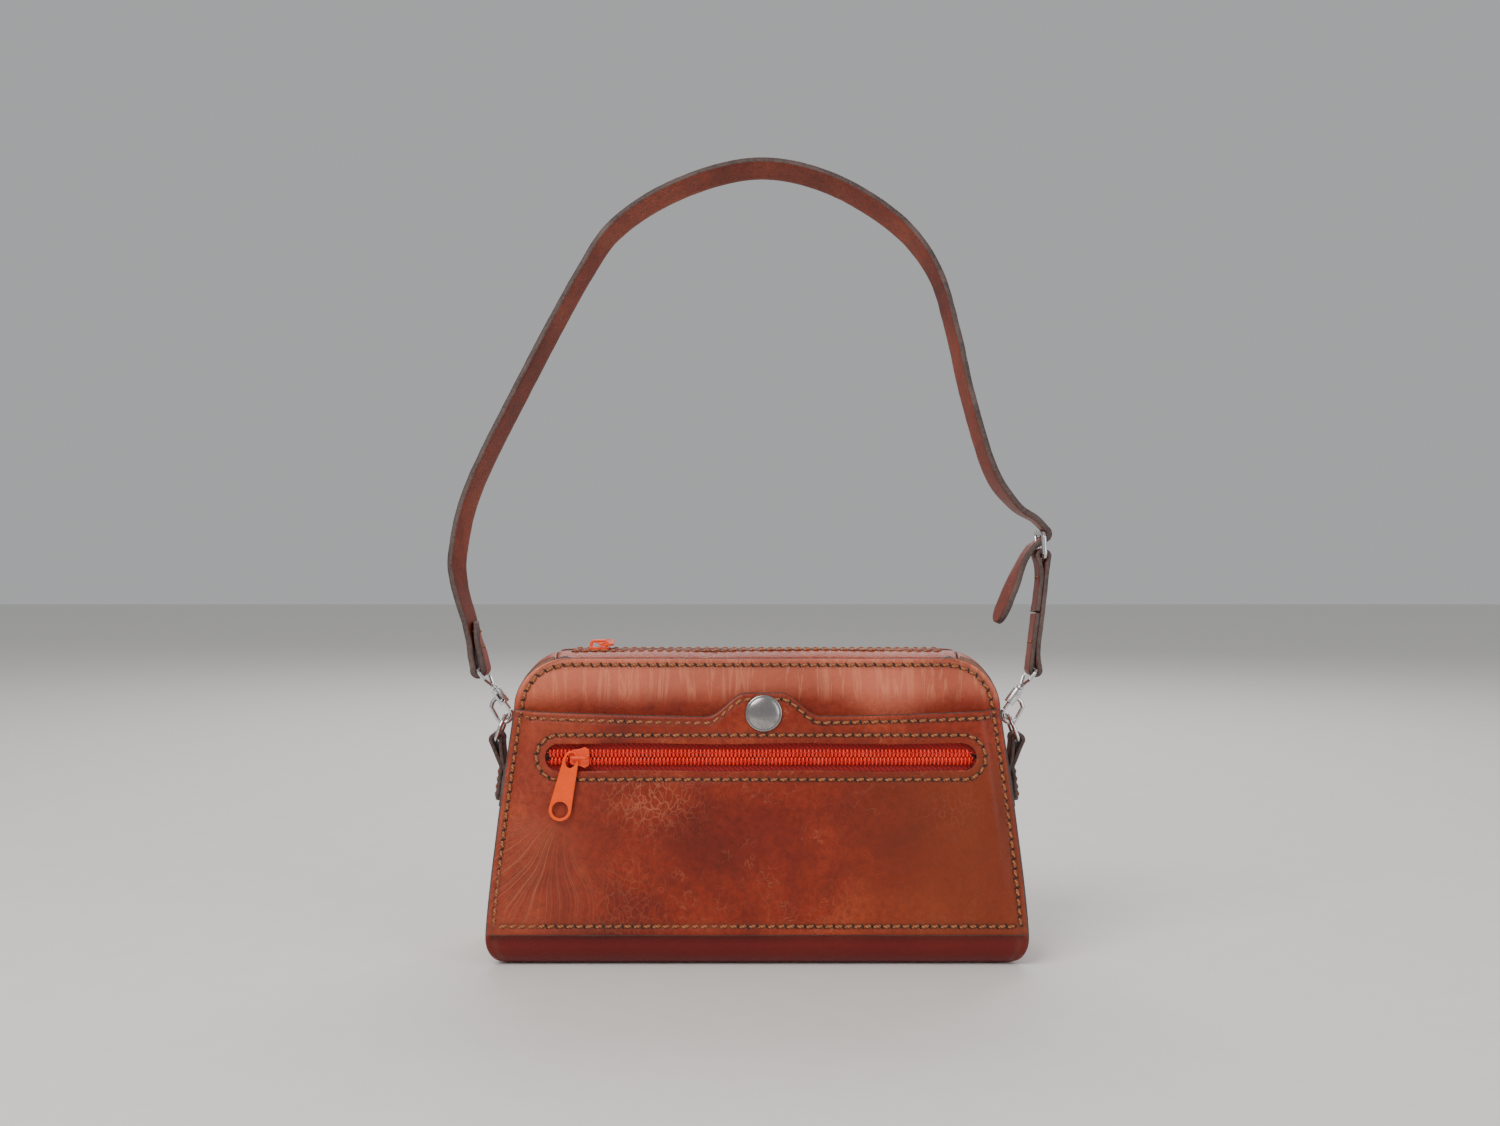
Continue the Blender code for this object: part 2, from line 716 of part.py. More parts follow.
def ribbon(name, path, thickness, twist, finish, width_at=None):
    """A flat strip along an XZ path; twist(x, z) turns its front edge outwards, in radians."""
    spots = [Vector((x, lean_back(z), z)) for x, z in path]
    sections = []
    for i, spot in enumerate(spots):
        along = (spots[min(i + 1, len(spots) - 1)] - spots[max(i - 1, 0)]).normalized()
        front = Vector((0.0, -1.0, 0.0))
        front = (front - along * front.dot(along)).normalized()
        front = Matrix.Rotation(-twist(*path[i]), 3, along) @ front
        flat = along.cross(front)
        wide = (width_at(i) if width_at else STRAP_WIDTH) / 2
        deep = thickness / 2
        corners = ((-wide, -deep), (wide, -deep), (wide, deep), (-wide, deep))
        sections.append([spot + front * a + flat * b for a, b in corners])
    return loft(name, sections, finish)


def eye_bar(side):
    spot = hook_frame(side) @ Vector((0.0, 0.0, -EYE_LENGTH))
    return spot.x, spot.z


def long_strap_path():
    """From the stitched end, round the left eye, over the arch, through the buckle to the tail."""
    x, z = eye_bar(-1)
    radius = EYE_WIRE + GAP + STRAP_THICK / 2
    start = [(x - 0.0020, z + 0.0200), (x - 0.0008, z + 0.0120), (x + 0.0010, z + 0.0060)]
    round_eye = fold((x, z), radius, 15, -195)
    arch = [
        (x - 0.0032, z + 0.0060), (x - 0.0036, z + 0.0120), (x - 0.0047, z + 0.0200),
        (-0.1250, 0.1535), (-0.1255, 0.1675), (-0.1196, 0.1930), (-0.1003, 0.2345), (-0.0746, 0.2845),
        (-0.0590, 0.3067), (-0.0315, 0.3237), (0.0006, 0.3318), (0.0310, 0.3256), (0.0596, 0.3080),
        (0.0760, 0.2868), (0.0838, 0.2605), (0.0895, 0.2332), (0.0986, 0.2010), (0.1085, 0.1860),
        (0.1170, 0.1800),
    ]
    top_x, top_z = BUCKLE_TOP
    over = fold((top_x, top_z), BUCKLE_WIRE + GAP + STRAP_THICK / 2 + 0.0001, 50, -42, 5)
    tail = [(0.1155, 0.1682), (0.1115, 0.1625), (0.1065, 0.1510), (0.1004, 0.1365)]
    path = through(start, 0.004)[:-1] + round_eye + through(arch[:3], 0.004)[:-1]
    return path + through(arch[2:] + over[:1], 0.006)[:-1] + over + through(tail, 0.004)


def long_strap_twist(x, z):
    """The strap's front edge turns outwards up the sides and further over the top."""
    if x < 0:
        turn = 14 * smooth((z - 0.122) / 0.020) + 8 * smooth((z - 0.145) / 0.020)
        return math.radians(turn + 8 * smooth((z - 0.285) / 0.035))
    if z < 0.170:
        return math.radians(12 * smooth((0.164 - z) / 0.014))
    return math.radians(14 * smooth((z - 0.176) / 0.020) + 16 * smooth((z - 0.275) / 0.045))


def make_long_strap(finish):
    path = long_strap_path()
    count = len(path)

    def width_at(i):
        left = count - 1 - i
        return STRAP_WIDTH * min(1.0, 0.35 + 0.25 * left)

    strap = ribbon("strap_long", path, STRAP_THICK, long_strap_twist, finish, width_at)
    x, z = BUCKLE_LOW
    place = Matrix.Translation((x - 0.0024, lean_back(z) + 0.0005, z + 0.0053))
    slot = box("prong_hole", (0.0064, 0.0036, 0.0084), place, None, CUTTERS)
    boolean(strap, slot, "DIFFERENCE")


def make_short_strap(finish):
    """A doubled strap round the right eye and the buckle's lower bar, its ends meeting half way."""
    low = eye_bar(1)
    high = BUCKLE_LOW
    bottom = EYE_WIRE + GAP + SHORT_THICK / 2
    top = BUCKLE_WIRE + GAP + SHORT_THICK / 2
    layer = (SHORT_THICK + GAP) / 2
    x_mid = (low[0] + high[0]) / 2
    z_mid = (low[1] + high[1]) / 2
    inner_low = [(x_mid - layer, z_mid - 0.0004), (low[0] - layer, low[1] + 0.0080)]
    outer = [(low[0] + layer, low[1] + 0.0080), (x_mid + layer, z_mid), (high[0] + layer, high[1] - 0.0080)]
    inner_high = [(high[0] - layer, high[1] - 0.0080), (x_mid - layer, z_mid + 0.0004)]
    path = inner_low + fold(low, bottom, 180, 360) + outer + fold(high, top, 0, 180) + inner_high
    strap = ribbon("strap_short", path, SHORT_THICK, lambda x, z: 0.0, finish)
    spot = Vector((high[0], lean_back(high[1]), high[1]))
    place = Matrix.Translation(spot) @ Matrix.Rotation(math.radians(90), 4, "X")
    build = bmesh.new()
    bmesh.ops.create_cone(build, cap_ends=True, segments=16, radius1=0.0036, radius2=0.0036, depth=0.0034)
    mesh = bpy.data.meshes.new("fold_slot")
    build.to_mesh(mesh)
    build.free()
    slot = add_object("fold_slot", mesh, None, CUTTERS)
    slot.matrix_world = place
    boolean(strap, slot, "DIFFERENCE")


def make_buckle(finish):
    low = Vector((BUCKLE_LOW[0], lean_back(BUCKLE_LOW[1]), BUCKLE_LOW[1]))
    high = Vector((BUCKLE_TOP[0], lean_back(BUCKLE_TOP[1]), BUCKLE_TOP[1]))
    side = Vector((0.0, STRAP_WIDTH / 2 + BUCKLE_WIRE + 0.0009, 0.0))
    corner = Vector((0.0, 0.0013, 0.0))
    rise = (high - low).normalized() * 0.0013
    points = [low - side + corner, low + side - corner, low + side + rise, high + side - rise,
              high + side - corner, high - side + corner, high - side - rise, low - side + rise]
    tube("buckle_frame", points, BUCKLE_WIRE, finish, cyclic=True, sides=3)
    wire = 0.0006
    radius = BUCKLE_WIRE + 0.0002 + wire
    hook = [(low.x + radius * math.cos(math.radians(a)), low.y, low.z + radius * math.sin(math.radians(a)))
            for a in range(120, 361, 30)]
    tip = [Vector((low.x - 0.0021, low.y, low.z + 0.0046)), Vector((high.x - 0.0020, high.y, high.z - 0.0010)),
           Vector((high.x - 0.0019, high.y, high.z + 0.0012))]
    tube("buckle_prong", [tuple(point) for point in reversed(tip)] + hook[2:], wire, finish)


def main():
    clear_scene()
    leather = material("cognac_leather", (0.42, 0.105, 0.045), 0.48)
    dark_leather = material("dark_leather", (0.16, 0.06, 0.035), 0.55)
    strap_leather = material("strap_leather", (0.28, 0.09, 0.05), 0.55)
    red_tape = material("red_tape", (0.50, 0.02, 0.02), 0.85)
    red_coil = material("red_coil", (0.80, 0.05, 0.03), 0.40)
    cotton = material("pouch_cotton", (0.30, 0.22, 0.15), 0.90)
    board = material("fibre_board", (0.30, 0.22, 0.15), 0.80)
    nickel = material("nickel", (0.72, 0.70, 0.66), 0.22, 1.0)
    dull_nickel = material("dull_nickel", (0.45, 0.43, 0.40), 0.40, 1.0)
    orange = material("orange_enamel", (0.95, 0.16, 0.03), 0.35)
    coral = material("coral_enamel", (0.90, 0.12, 0.06), 0.40)

    make_body_wrap(leather)
    make_pocket_panel(leather)
    for name, side in (("left", -1), ("right", 1)):
        make_gusset("gusset_" + name, side, leather)
    make_top_strip("top_strip_front", 1, leather)
    make_top_strip("top_strip_back", -1, leather)
    make_base_board(board)
    make_pouch(cotton)
    make_snap((nickel, dull_nickel))

    front = front_zip_place()
    names = (("front_tape_upper", "front_coil_upper"), ("front_tape_lower", "front_coil_lower"))
    make_chain(names, front, (SLOT_LENGTH / 2 + 0.002, SLOT_LENGTH / 2 - 0.0015), 0.0085, (red_tape, red_coil))
    at_slider = front @ Matrix.Translation((FRONT_SLIDER_X - SLOT_CENTRE_X, 0.0, 0.0))
    make_slider("front_slider", at_slider, coral)
    make_pull("front_pull", at_slider, math.radians(-12), orange)

    top = top_zip_place()
    names = (("top_tape_front", "top_coil_front"), ("top_tape_back", "top_coil_back"))
    make_chain(names, top, (0.0780, 0.0770), 0.0056, (red_tape, red_coil))
    at_slider = top @ Matrix.Translation((-TOP_SLIDER_X, 0.0, 0.0))
    make_slider("top_slider", at_slider, coral)
    make_pull("top_pull", at_slider, math.radians(8), orange)

    for name, side in (("left", -1), ("right", 1)):
        make_ring_tab("ring_tab_" + name, side, dark_leather)
        make_ring("ring_" + name, side, nickel)
        make_hook("hook_body_" + name, side, nickel)
        make_trigger("trigger_bolt_" + name, side, nickel)
        make_swivel_eye("swivel_eye_" + name, side, nickel)
    make_long_strap(strap_leather)
    make_short_strap(strap_leather)
    make_buckle(nickel)


main()
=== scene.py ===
"""Looks of the zip-top leather shoulder bag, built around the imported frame."""

import math
import random

import bmesh
import bpy
import numpy as np
from mathutils import Matrix, Vector, noise


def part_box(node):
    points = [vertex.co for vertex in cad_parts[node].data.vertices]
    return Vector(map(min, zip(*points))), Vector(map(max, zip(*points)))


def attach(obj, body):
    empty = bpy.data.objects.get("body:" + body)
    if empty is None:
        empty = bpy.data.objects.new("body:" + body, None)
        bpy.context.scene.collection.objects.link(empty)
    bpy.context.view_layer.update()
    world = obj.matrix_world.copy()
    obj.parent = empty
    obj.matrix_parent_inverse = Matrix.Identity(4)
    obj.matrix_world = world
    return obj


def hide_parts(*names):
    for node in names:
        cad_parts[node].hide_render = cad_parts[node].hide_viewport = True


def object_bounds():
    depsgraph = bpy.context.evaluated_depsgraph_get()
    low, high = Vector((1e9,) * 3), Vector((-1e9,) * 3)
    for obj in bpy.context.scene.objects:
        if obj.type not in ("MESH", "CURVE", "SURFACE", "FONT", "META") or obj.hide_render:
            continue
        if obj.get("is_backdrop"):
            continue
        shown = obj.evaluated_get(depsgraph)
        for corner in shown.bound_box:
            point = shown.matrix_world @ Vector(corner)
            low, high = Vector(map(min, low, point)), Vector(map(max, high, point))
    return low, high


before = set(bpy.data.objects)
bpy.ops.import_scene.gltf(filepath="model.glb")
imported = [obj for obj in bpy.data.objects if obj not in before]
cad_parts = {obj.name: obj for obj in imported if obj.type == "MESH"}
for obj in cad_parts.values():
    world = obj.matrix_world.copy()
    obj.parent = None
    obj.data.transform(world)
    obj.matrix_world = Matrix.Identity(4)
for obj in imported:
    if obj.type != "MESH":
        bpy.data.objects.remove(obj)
cad_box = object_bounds()
MM = 0.001

# Leather body, as in the frame
LEATHER = 0.0020
GAP = 0.0003
TOP_Z = 0.1230
CORNER_Z = 0.1030
CORNER_X = 0.0780
CORNER_R = 0.0200
BASE_HALF = 0.1020
WIDEST_HALF = 0.1090
WIDEST_Z = 0.0120
SHOULDER_HALF = 0.0985
BASE_HALF_DEPTH = 0.0290
TOP_HALF_DEPTH = 0.0185
BASE_RADIUS = 0.0090
GUSSET_INSET = 0.0030
GUSSET_BULGE = 0.0042
GUSSET_THICK = 0.0016
BAND_DROP = 0.0013
BAND_END_ANGLE = 78.0
ZIP_WINDOW_HALF = 0.0044
PANEL_LOW_Z = 0.0133
PANEL_TOP_Z = 0.1004
PANEL_CORNER_RISE = 0.0025
PANEL_BULGE = 0.0034
PANEL_MARGIN = 0.0006
TAB_X = 0.0026
TAB_HALF = 0.0150
TAB_RISE = 0.0095
SLOT_CENTRE_X = 0.0015
SLOT_LENGTH = 0.1730
SLOT_HEIGHT = 0.0108
SLOT_Z = 0.0843
TOP_ZIP_Z = 0.1257
SNAP_Z = 0.1018

# Rings, hooks and strap, as in the frame
RING_WIRE = 0.00095
RING_TILT = math.radians(20)
RING_DEPTH = 0.0106
RING_BAR_X = 0.1085
RING_BAR_Z = 0.0882
HOOK_LEAN = math.radians(36)
WIRE_AT = 0.0112
WIRE_SIDE = 0.0025
EYE_LENGTH = 0.0105
EYE_WIRE = 0.0008
STRAP_WIDTH = 0.0120
STRAP_THICK = 0.0024
SHORT_THICK = 0.0018
STRAP_LEAN = 0.14
LEAN_START_Z = 0.1180
LEAN_EASE = 0.0200
BUCKLE_LOW = (0.1195, 0.1644)
BUCKLE_TOP = (0.1192, 0.1738)
BUCKLE_WIRE = 0.0011

# Sewing
STITCH_PITCH = 0.0038
STITCH_LENGTH = 0.0031
THREAD = 0.00062
SEAM_INSET = 0.0034
CORNER_EASE = 0.0006
LOW_ROW_Z = PANEL_LOW_Z + 0.0037
MOUTH_ROW = 0.0026
SLOT_ROW = 0.0034
ZIP_ROW = 0.0026

# Rounding of a hide's raw edge, as shares of its thickness
EDGE_DROP = 0.16
EDGE_TRIM = 0.12
RIM_SWELL = 0.10


# ---------------------------------------------------------------- camera, light and floor

def make_camera():
    """The main view: level with the strap's lower half, 64 cm in front of the bag."""
    data = bpy.data.cameras.new("camera")
    data.sensor_width = 36.0
    data.lens = 36.9
    camera = bpy.data.objects.new("camera", data)
    camera.location = (-0.0029, -0.642, 0.1752)
    camera.rotation_euler = (math.radians(90 - 1.215), 0.0, 0.0)
    bpy.context.scene.collection.objects.link(camera)
    bpy.context.scene.camera = camera


def make_area(name, place, target, size, power, colour):
    data = bpy.data.lights.new(name, "AREA")
    data.shape = "RECTANGLE"
    data.size, data.size_y = size
    data.energy = power
    data.color = colour
    light = bpy.data.objects.new(name, data)
    light.location = place
    light.rotation_euler = (Vector(target) - Vector(place)).to_track_quat("-Z", "Y").to_euler()
    bpy.context.scene.collection.objects.link(light)


def make_studio():
    make_area("key", (-0.55, -0.75, 0.95), (0, 0, 0.1), (0.7, 0.6), 12.0, (1.0, 0.97, 0.93))
    make_area("fill", (0.85, -0.65, 0.45), (0, 0, 0.1), (0.7, 0.7), 3.4, (0.95, 0.97, 1.0))
    make_area("back", (0.1, 0.9, 0.9), (0, 0, 0.15), (1.2, 0.5), 8.0, (1.0, 0.98, 0.95))
    world = bpy.data.worlds.new("studio")
    world.use_nodes = True
    world.node_tree.nodes["Background"].inputs["Color"].default_value = (0.93, 0.94, 0.96, 1)
    world.node_tree.nodes["Background"].inputs["Strength"].default_value = 0.45
    bpy.context.scene.world = world
    build = bmesh.new()
    bmesh.ops.create_grid(build, x_segments=4, y_segments=4, size=3.0)
    mesh = bpy.data.meshes.new("floor")
    build.to_mesh(mesh)
    build.free()
    floor = bpy.data.objects.new("floor", mesh)
    bpy.context.scene.collection.objects.link(floor)
    floor.data.materials.append(plain_material("floor_paper", (0.80, 0.78, 0.75), 0.65))
    floor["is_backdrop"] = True


# ---------------------------------------------------------------- shader building

class Graph:
    """A small helper that adds nodes and links their inputs."""

    def __init__(self, name):
        self.material = bpy.data.materials.new(name)
        self.material.use_nodes = True
        self.tree = self.material.node_tree
        self.shader = self.tree.nodes["Principled BSDF"]

    def add(self, kind, inputs=None, **settings):
        node = self.tree.nodes.new("ShaderNode" + kind)
        for key, value in settings.items():
            setattr(node, key, value)
        for key, value in (inputs or {}).items():
            self.feed(node.inputs[key], value)
        return node

    def feed(self, socket, value):
        if isinstance(value, bpy.types.NodeSocket):
            self.tree.links.new(value, socket)
        elif isinstance(value, tuple) and len(value) == 3 and socket.type == "RGBA":
            socket.default_value = (*value, 1.0)
        else:
            socket.default_value = value

    def place(self, scale):
        """Object coordinates multiplied by a scale on each axis."""
        coordinates = self.add("TexCoord").outputs["Object"]
        return self.add("Mapping", {"Vector": coordinates, "Scale": scale}).outputs[0]

    def noise(self, scale, detail=4.0, rough=0.55, distort=0.0, stretch=(1, 1, 1)):
        vector = self.place(tuple(s * scale for s in stretch))
        inputs = {"Vector": vector, "Scale": 1.0, "Detail": detail}
        inputs.update({"Roughness": rough, "Distortion": distort})
        return self.add("TexNoise", inputs).outputs["Fac"]

    def cells(self, vector, feature):
        inputs = {"Vector": vector, "Scale": 1.0}
        return self.add("TexVoronoi", inputs, feature=feature).outputs["Distance"]

    def ramp(self, value, stops):
        """Colours or greys (position, shade) along a value."""
        node = self.add("ValToRGB", {"Fac": value})
        elements = node.color_ramp.elements
        while len(elements) < len(stops):
            elements.new(0.5)
        for element, (position, colour) in zip(elements, stops):
            element.position = position
            element.color = (*colour, 1.0) if isinstance(colour, tuple) else (*(colour,) * 3, 1.0)
        return node.outputs["Color"]

    def math(self, operation, a, b):
        return self.add("Math", {0: a, 1: b}, operation=operation).outputs[0]

    def times(self, a, b):
        return self.math("MULTIPLY", a, b)

    def most(self, a, b):
        return self.math("MAXIMUM", a, b)

    def wave(self, scale, distortion, direction):
        inputs = {"Vector": self.place((1.0, 1.0, 1.0)), "Scale": scale, "Distortion": distortion}
        return self.add("TexWave", inputs, bands_direction=direction).outputs["Fac"]

    def mix(self, factor, a, b, blend="MIX"):
        node = self.add("Mix", data_type="RGBA", blend_type=blend)
        self.feed(node.inputs[0], factor)
        self.feed(node.inputs[6], a)
        self.feed(node.inputs[7], b)
        return node.outputs[2]

    def attribute(self, name):
        return self.add("Attribute", attribute_name=name).outputs["Fac"]

    def bump(self, height, strength, distance):
        inputs = {"Height": height, "Strength": strength, "Distance": distance}
        return self.add("Bump", inputs).outputs["Normal"]

    def finish(self, colour, roughness, normal=None, **constants):
        self.feed(self.shader.inputs["Base Color"], colour)
        self.feed(self.shader.inputs["Roughness"], roughness)
        if normal is not None:
            self.feed(self.shader.inputs["Normal"], normal)
        for key, value in constants.items():
            self.shader.inputs[key.replace("_", " ")].default_value = value
        return self.material


def plain_material(name, colour, roughness):
    graph = Graph(name)
    speck = graph.noise(60.0, 3.0)
    shade = graph.ramp(speck, [(0.3, tuple(c * 0.97 for c in colour)), (0.7, colour)])
    return graph.finish(shade, roughness)


def hide_creases(graph, painted):
    """Pale creases: broken hairlines in patches and, where the hide is painted, its marked folds."""
    warp = graph.add("TexNoise", {"Vector": graph.place((90.0,) * 3), "Scale": 1.0, "Detail": 3.0})
    bend = graph.add("VectorMath", {0: warp.outputs["Color"], 3: 3.2}, operation="SCALE").outputs[0]
    networks = []
    for scale, width in (((120.0, 120.0, 75.0), 0.028), ((380.0, 380.0, 210.0), 0.07)):
        bent = graph.add("VectorMath", {0: graph.place(scale), 1: bend}, operation="ADD")
        lines = graph.cells(bent.outputs[0], "DISTANCE_TO_EDGE")
        networks.append(graph.ramp(lines, [(0.0, 1.0), (width, 0.0)]))
    veins, fine = networks
    veins = graph.times(veins, graph.ramp(graph.noise(160.0, 3.0), [(0.44, 0.0), (0.56, 1.0)]))
    patches = graph.ramp(graph.noise(45.0, 4.0), [(0.47, 0.0), (0.60, 1.0)])
    creases = graph.times(graph.times(veins, patches), 0.45)
    if not painted:
        return creases
    creases = graph.most(creases, graph.times(graph.most(veins, fine), graph.attribute("crease")))
    rays = {"W": graph.attribute("fan_angle"), "Scale": 9.0, "Detail": 3.0, "Distortion": 0.3}
    rays = graph.add("TexNoise", rays, noise_dimensions="1D").outputs["Fac"]
    fan = graph.ramp(rays, [(0.50, 0.0), (0.56, 1.0), (0.61, 0.0)])
    creases = graph.most(creases, graph.times(fan, graph.attribute("fan")))
    pull = graph.noise(1.0, 3.0, 0.6, 0.6, (230.0, 40.0, 26.0))
    pull = graph.ramp(pull, [(0.52, 0.0), (0.58, 1.0), (0.64, 0.0)])
    return graph.most(creases, graph.times(pull, graph.attribute("pull")))


def hide_paint(graph, colour, dark, light):
    """The leather's lighter, darker, ochre and pink places, a painted highlight on the body's upper band,
    deep red painted shade along the bottom, and its darkened seams.
    """
    tone = graph.attribute("tone")
    colour = graph.mix(graph.most(tone, 0.0), colour, light)
    colour = graph.mix(graph.most(graph.times(tone, -1.0), 0.0), colour, dark)
    colour = graph.mix(graph.attribute("ochre"), colour, (0.18, 0.027, 0.005))
    # Pink colour: a painted highlight on the body's upper band, and a faint plain pink tint on the pocket's
    # left end, the gussets and the zip band
    colour = graph.mix(graph.attribute("pink"), colour, (0.78, 0.22, 0.13))
    # Deep red painted shade on the bottom of the bag, where the leather faces down
    colour = graph.mix(graph.attribute("low"), colour, (0.115, 0.0035, 0.0035))
    return graph.mix(graph.times(graph.attribute("seam"), 0.55), colour, (0.13, 0.035, 0.018))


def leather_material(name, dark, middle, light, vein, painted=True, rough=0.40):
    """Waxed pull-up leather: blotches, mottling, pale creases and a fine pebble grain."""
    graph = Graph(name)
    blotch = graph.noise(22.0, 5.0, 0.6, 0.4)
    colour = graph.ramp(blotch, [(0.30, dark), (0.50, middle), (0.72, light)])
    mottle = graph.noise(420.0, 6.0, 0.7)
    colour = graph.mix(0.60, colour, graph.ramp(mottle, [(0.32, 0.45), (0.62, 1.20)]), "MULTIPLY")
    creases = hide_creases(graph, painted)
    colour = graph.mix(graph.times(creases, 0.75), colour, vein)
    grain = graph.cells(graph.place((1150.0,) * 3), "SMOOTH_F1")
    height = graph.math("ADD", graph.times(grain, 0.5), graph.times(mottle, 0.5))
    height = graph.math("SUBTRACT", height, graph.times(creases, 0.9))
    if painted:
        colour = hide_paint(graph, colour, dark, light)
        height = graph.math("SUBTRACT", height, graph.times(graph.attribute("seam"), 1.5))
    shine = graph.ramp(mottle, [(0.3, rough - 0.06), (0.7, rough + 0.12)])
    return graph.finish(colour, shine, graph.bump(height, 0.55, 0.00035), Specular_IOR_Level=0.30,
                        Coat_Weight=0.04, Coat_Roughness=0.30)


def edge_material():
    """Burnished raw edge: dark brown with a fibrous streak."""
    graph = Graph("raw_edge")
    fibre = graph.noise(900.0, 5.0, 0.7)
    broad = graph.noise(90.0, 3.0)
    colour = graph.ramp(fibre, [(0.30, (0.024, 0.013, 0.011)), (0.70, (0.110, 0.066, 0.058))])
    colour = graph.mix(graph.ramp(broad, [(0.45, 0.0), (0.75, 0.5)]), colour, (0.17, 0.115, 0.100))
    return graph.finish(colour, 0.66, graph.bump(fibre, 0.6, 0.0003))


def flesh_material(name, low, high):
    """A napped surface: the suede back of the leather, cotton or fibre board."""
    graph = Graph(name)
    nap = graph.noise(700.0, 8.0, 0.75)
    broad = graph.noise(70.0, 4.0)
    colour = graph.ramp(nap, [(0.30, low), (0.70, high)])
    colour = graph.mix(0.35, colour, graph.ramp(broad, [(0.3, 0.6), (0.7, 1.1)]), "MULTIPLY")
    return graph.finish(colour, 0.72, graph.bump(nap, 0.5, 0.0002), Sheen_Weight=0.08)


def thread_material():
    graph = Graph("waxed_thread")
    twist = graph.wave(420.0, 1.5, "DIAGONAL")
    tone = graph.noise(130.0, 3.0)
    colour = graph.ramp(twist, [(0.15, (0.17, 0.045, 0.014)), (0.75, (0.44, 0.165, 0.055))])
    colour = graph.mix(graph.ramp(tone, [(0.45, 0.0), (0.75, 0.45)]), colour, (0.15, 0.030, 0.008))
    return graph.finish(colour, 0.60, graph.bump(twist, 0.5, 0.00015))


def tape_material():
    """Herringbone zip tape."""
    graph = Graph("woven_tape")
    weave = graph.times(graph.wave(520.0, 0.3, "X"), graph.wave(300.0, 0.3, "DIAGONAL"))
    colour = graph.ramp(weave, [(0.05, (0.20, 0.004, 0.004)), (0.6, (0.62, 0.012, 0.008))])
    return graph.finish(colour, 0.80, graph.bump(weave, 0.7, 0.0003), Sheen_Weight=0.15)


def nylon_material(name, low, high):
    graph = Graph(name)
    tone = graph.noise(160.0, 3.0)
    scuff = graph.noise(1400.0, 3.0)
    colour = graph.ramp(tone, [(0.3, low), (0.7, high)])
    return graph.finish(colour, graph.ramp(scuff, [(0.3, 0.28), (0.7, 0.45)]), None, Specular_IOR_Level=0.5)


def metal_material(name, colour, rough):
    """Plated metal with cloudy wear and hairline scratches."""
    graph = Graph(name)
    cloud = graph.noise(260.0, 5.0, 0.65)
    hair = graph.noise(1.0, 4.0, 0.6, 0.2, (1500.0, 300.0, 5200.0))
    dull = tuple(c * 0.62 for c in colour)
    bright = tuple(min(1.0, c * 1.12) for c in colour)
    shade = graph.ramp(cloud, [(0.28, dull), (0.52, colour), (0.8, bright)])
    shine = graph.ramp(cloud, [(0.3, rough + 0.16), (0.6, rough)])
    return graph.finish(shade, shine, graph.bump(hair, 0.12, 0.0001), Metallic=1.0)


def enamel_material(name, colour, chip):
    """Glossy paint over metal, a little orange-peeled and rubbed on its high spots."""
    graph = Graph(name)
    peel = graph.noise(900.0, 3.0)
    rub = graph.add("NewGeometry").outputs["Pointiness"]
    worn = graph.ramp(rub, [(0.54, 0.0), (0.62, 0.55)])
    tone = graph.ramp(graph.noise(220.0, 4.0), [(0.3, tuple(c * 0.86 for c in colour)), (0.7, colour)])
    shade = graph.mix(worn, tone, chip)
    return graph.finish(shade, graph.ramp(peel, [(0.3, 0.24), (0.7, 0.38)]), graph.bump(peel, 0.15, 0.0001),
                        Coat_Weight=0.12, Coat_Roughness=0.15, Specular_IOR_Level=0.35)


# ---------------------------------------------------------------- shape of the leather

def half_width(z):
    if z < WIDEST_Z:
        drop = (WIDEST_Z - z) / WIDEST_Z
        return BASE_HALF + (WIDEST_HALF - BASE_HALF) * math.sqrt(max(0.0, 1 - drop * drop))
    if z <= CORNER_Z:
        rise = (z - WIDEST_Z) / (CORNER_Z - WIDEST_Z)
        return WIDEST_HALF - (WIDEST_HALF - SHOULDER_HALF) * rise**1.25
    rise = min(1.0, (z - CORNER_Z) / CORNER_R)
    return CORNER_X + (SHOULDER_HALF - CORNER_X) * math.sqrt(1 - rise * rise)


def half_depth(z):
    rise = max(0.0, z - PANEL_LOW_Z) / (TOP_Z - PANEL_LOW_Z)
    return BASE_HALF_DEPTH - (BASE_HALF_DEPTH - TOP_HALF_DEPTH) * rise


def inner_half_depth(z):
    if z < BASE_RADIUS:
        radius = BASE_RADIUS - LEATHER
        drop = min(1.0, (BASE_RADIUS - z) / radius)
        return BASE_HALF_DEPTH - BASE_RADIUS + radius * math.sqrt(1 - drop * drop)
    return half_depth(z) - LEATHER


def smooth(value):
    value = min(1.0, max(0.0, value))
    return value * value * (3 - 2 * value)


def spread(low, high, count):
    return [low + (high - low) * i / (count - 1) for i in range(count)]


def hump(value, middle, width):
    return math.exp(-((value - middle) / width) ** 2)


def panel_top(x):
    side = PANEL_CORNER_RISE * (abs(x) / 0.1) ** 2
    tab = TAB_RISE * smooth(1.45 - abs(x - TAB_X) / TAB_HALF * 0.95)
    return PANEL_TOP_Z + side + tab


def panel_depth(x, z):
    side = smooth((half_width(z) - 0.0035 - abs(x)) / 0.006)
    belly = smooth((z - PANEL_LOW_Z - 0.005) / 0.045)
    return half_depth(z) + GAP + LEATHER + PANEL_BULGE * side * belly


def front_axes():
    """(up the front, out of the front): the front leans back by a few degrees."""
    lean = math.atan((BASE_HALF_DEPTH - TOP_HALF_DEPTH) / (TOP_Z - PANEL_LOW_Z))
    up = Vector((0.0, math.sin(lean), math.cos(lean)))
    return up, Vector((0.0, -math.cos(lean), math.sin(lean)))


def basis(origin, across, normal):
    along = across.cross(normal)
    place = Matrix((along, across, normal)).transposed().to_4x4()
    place.translation = origin
    return place


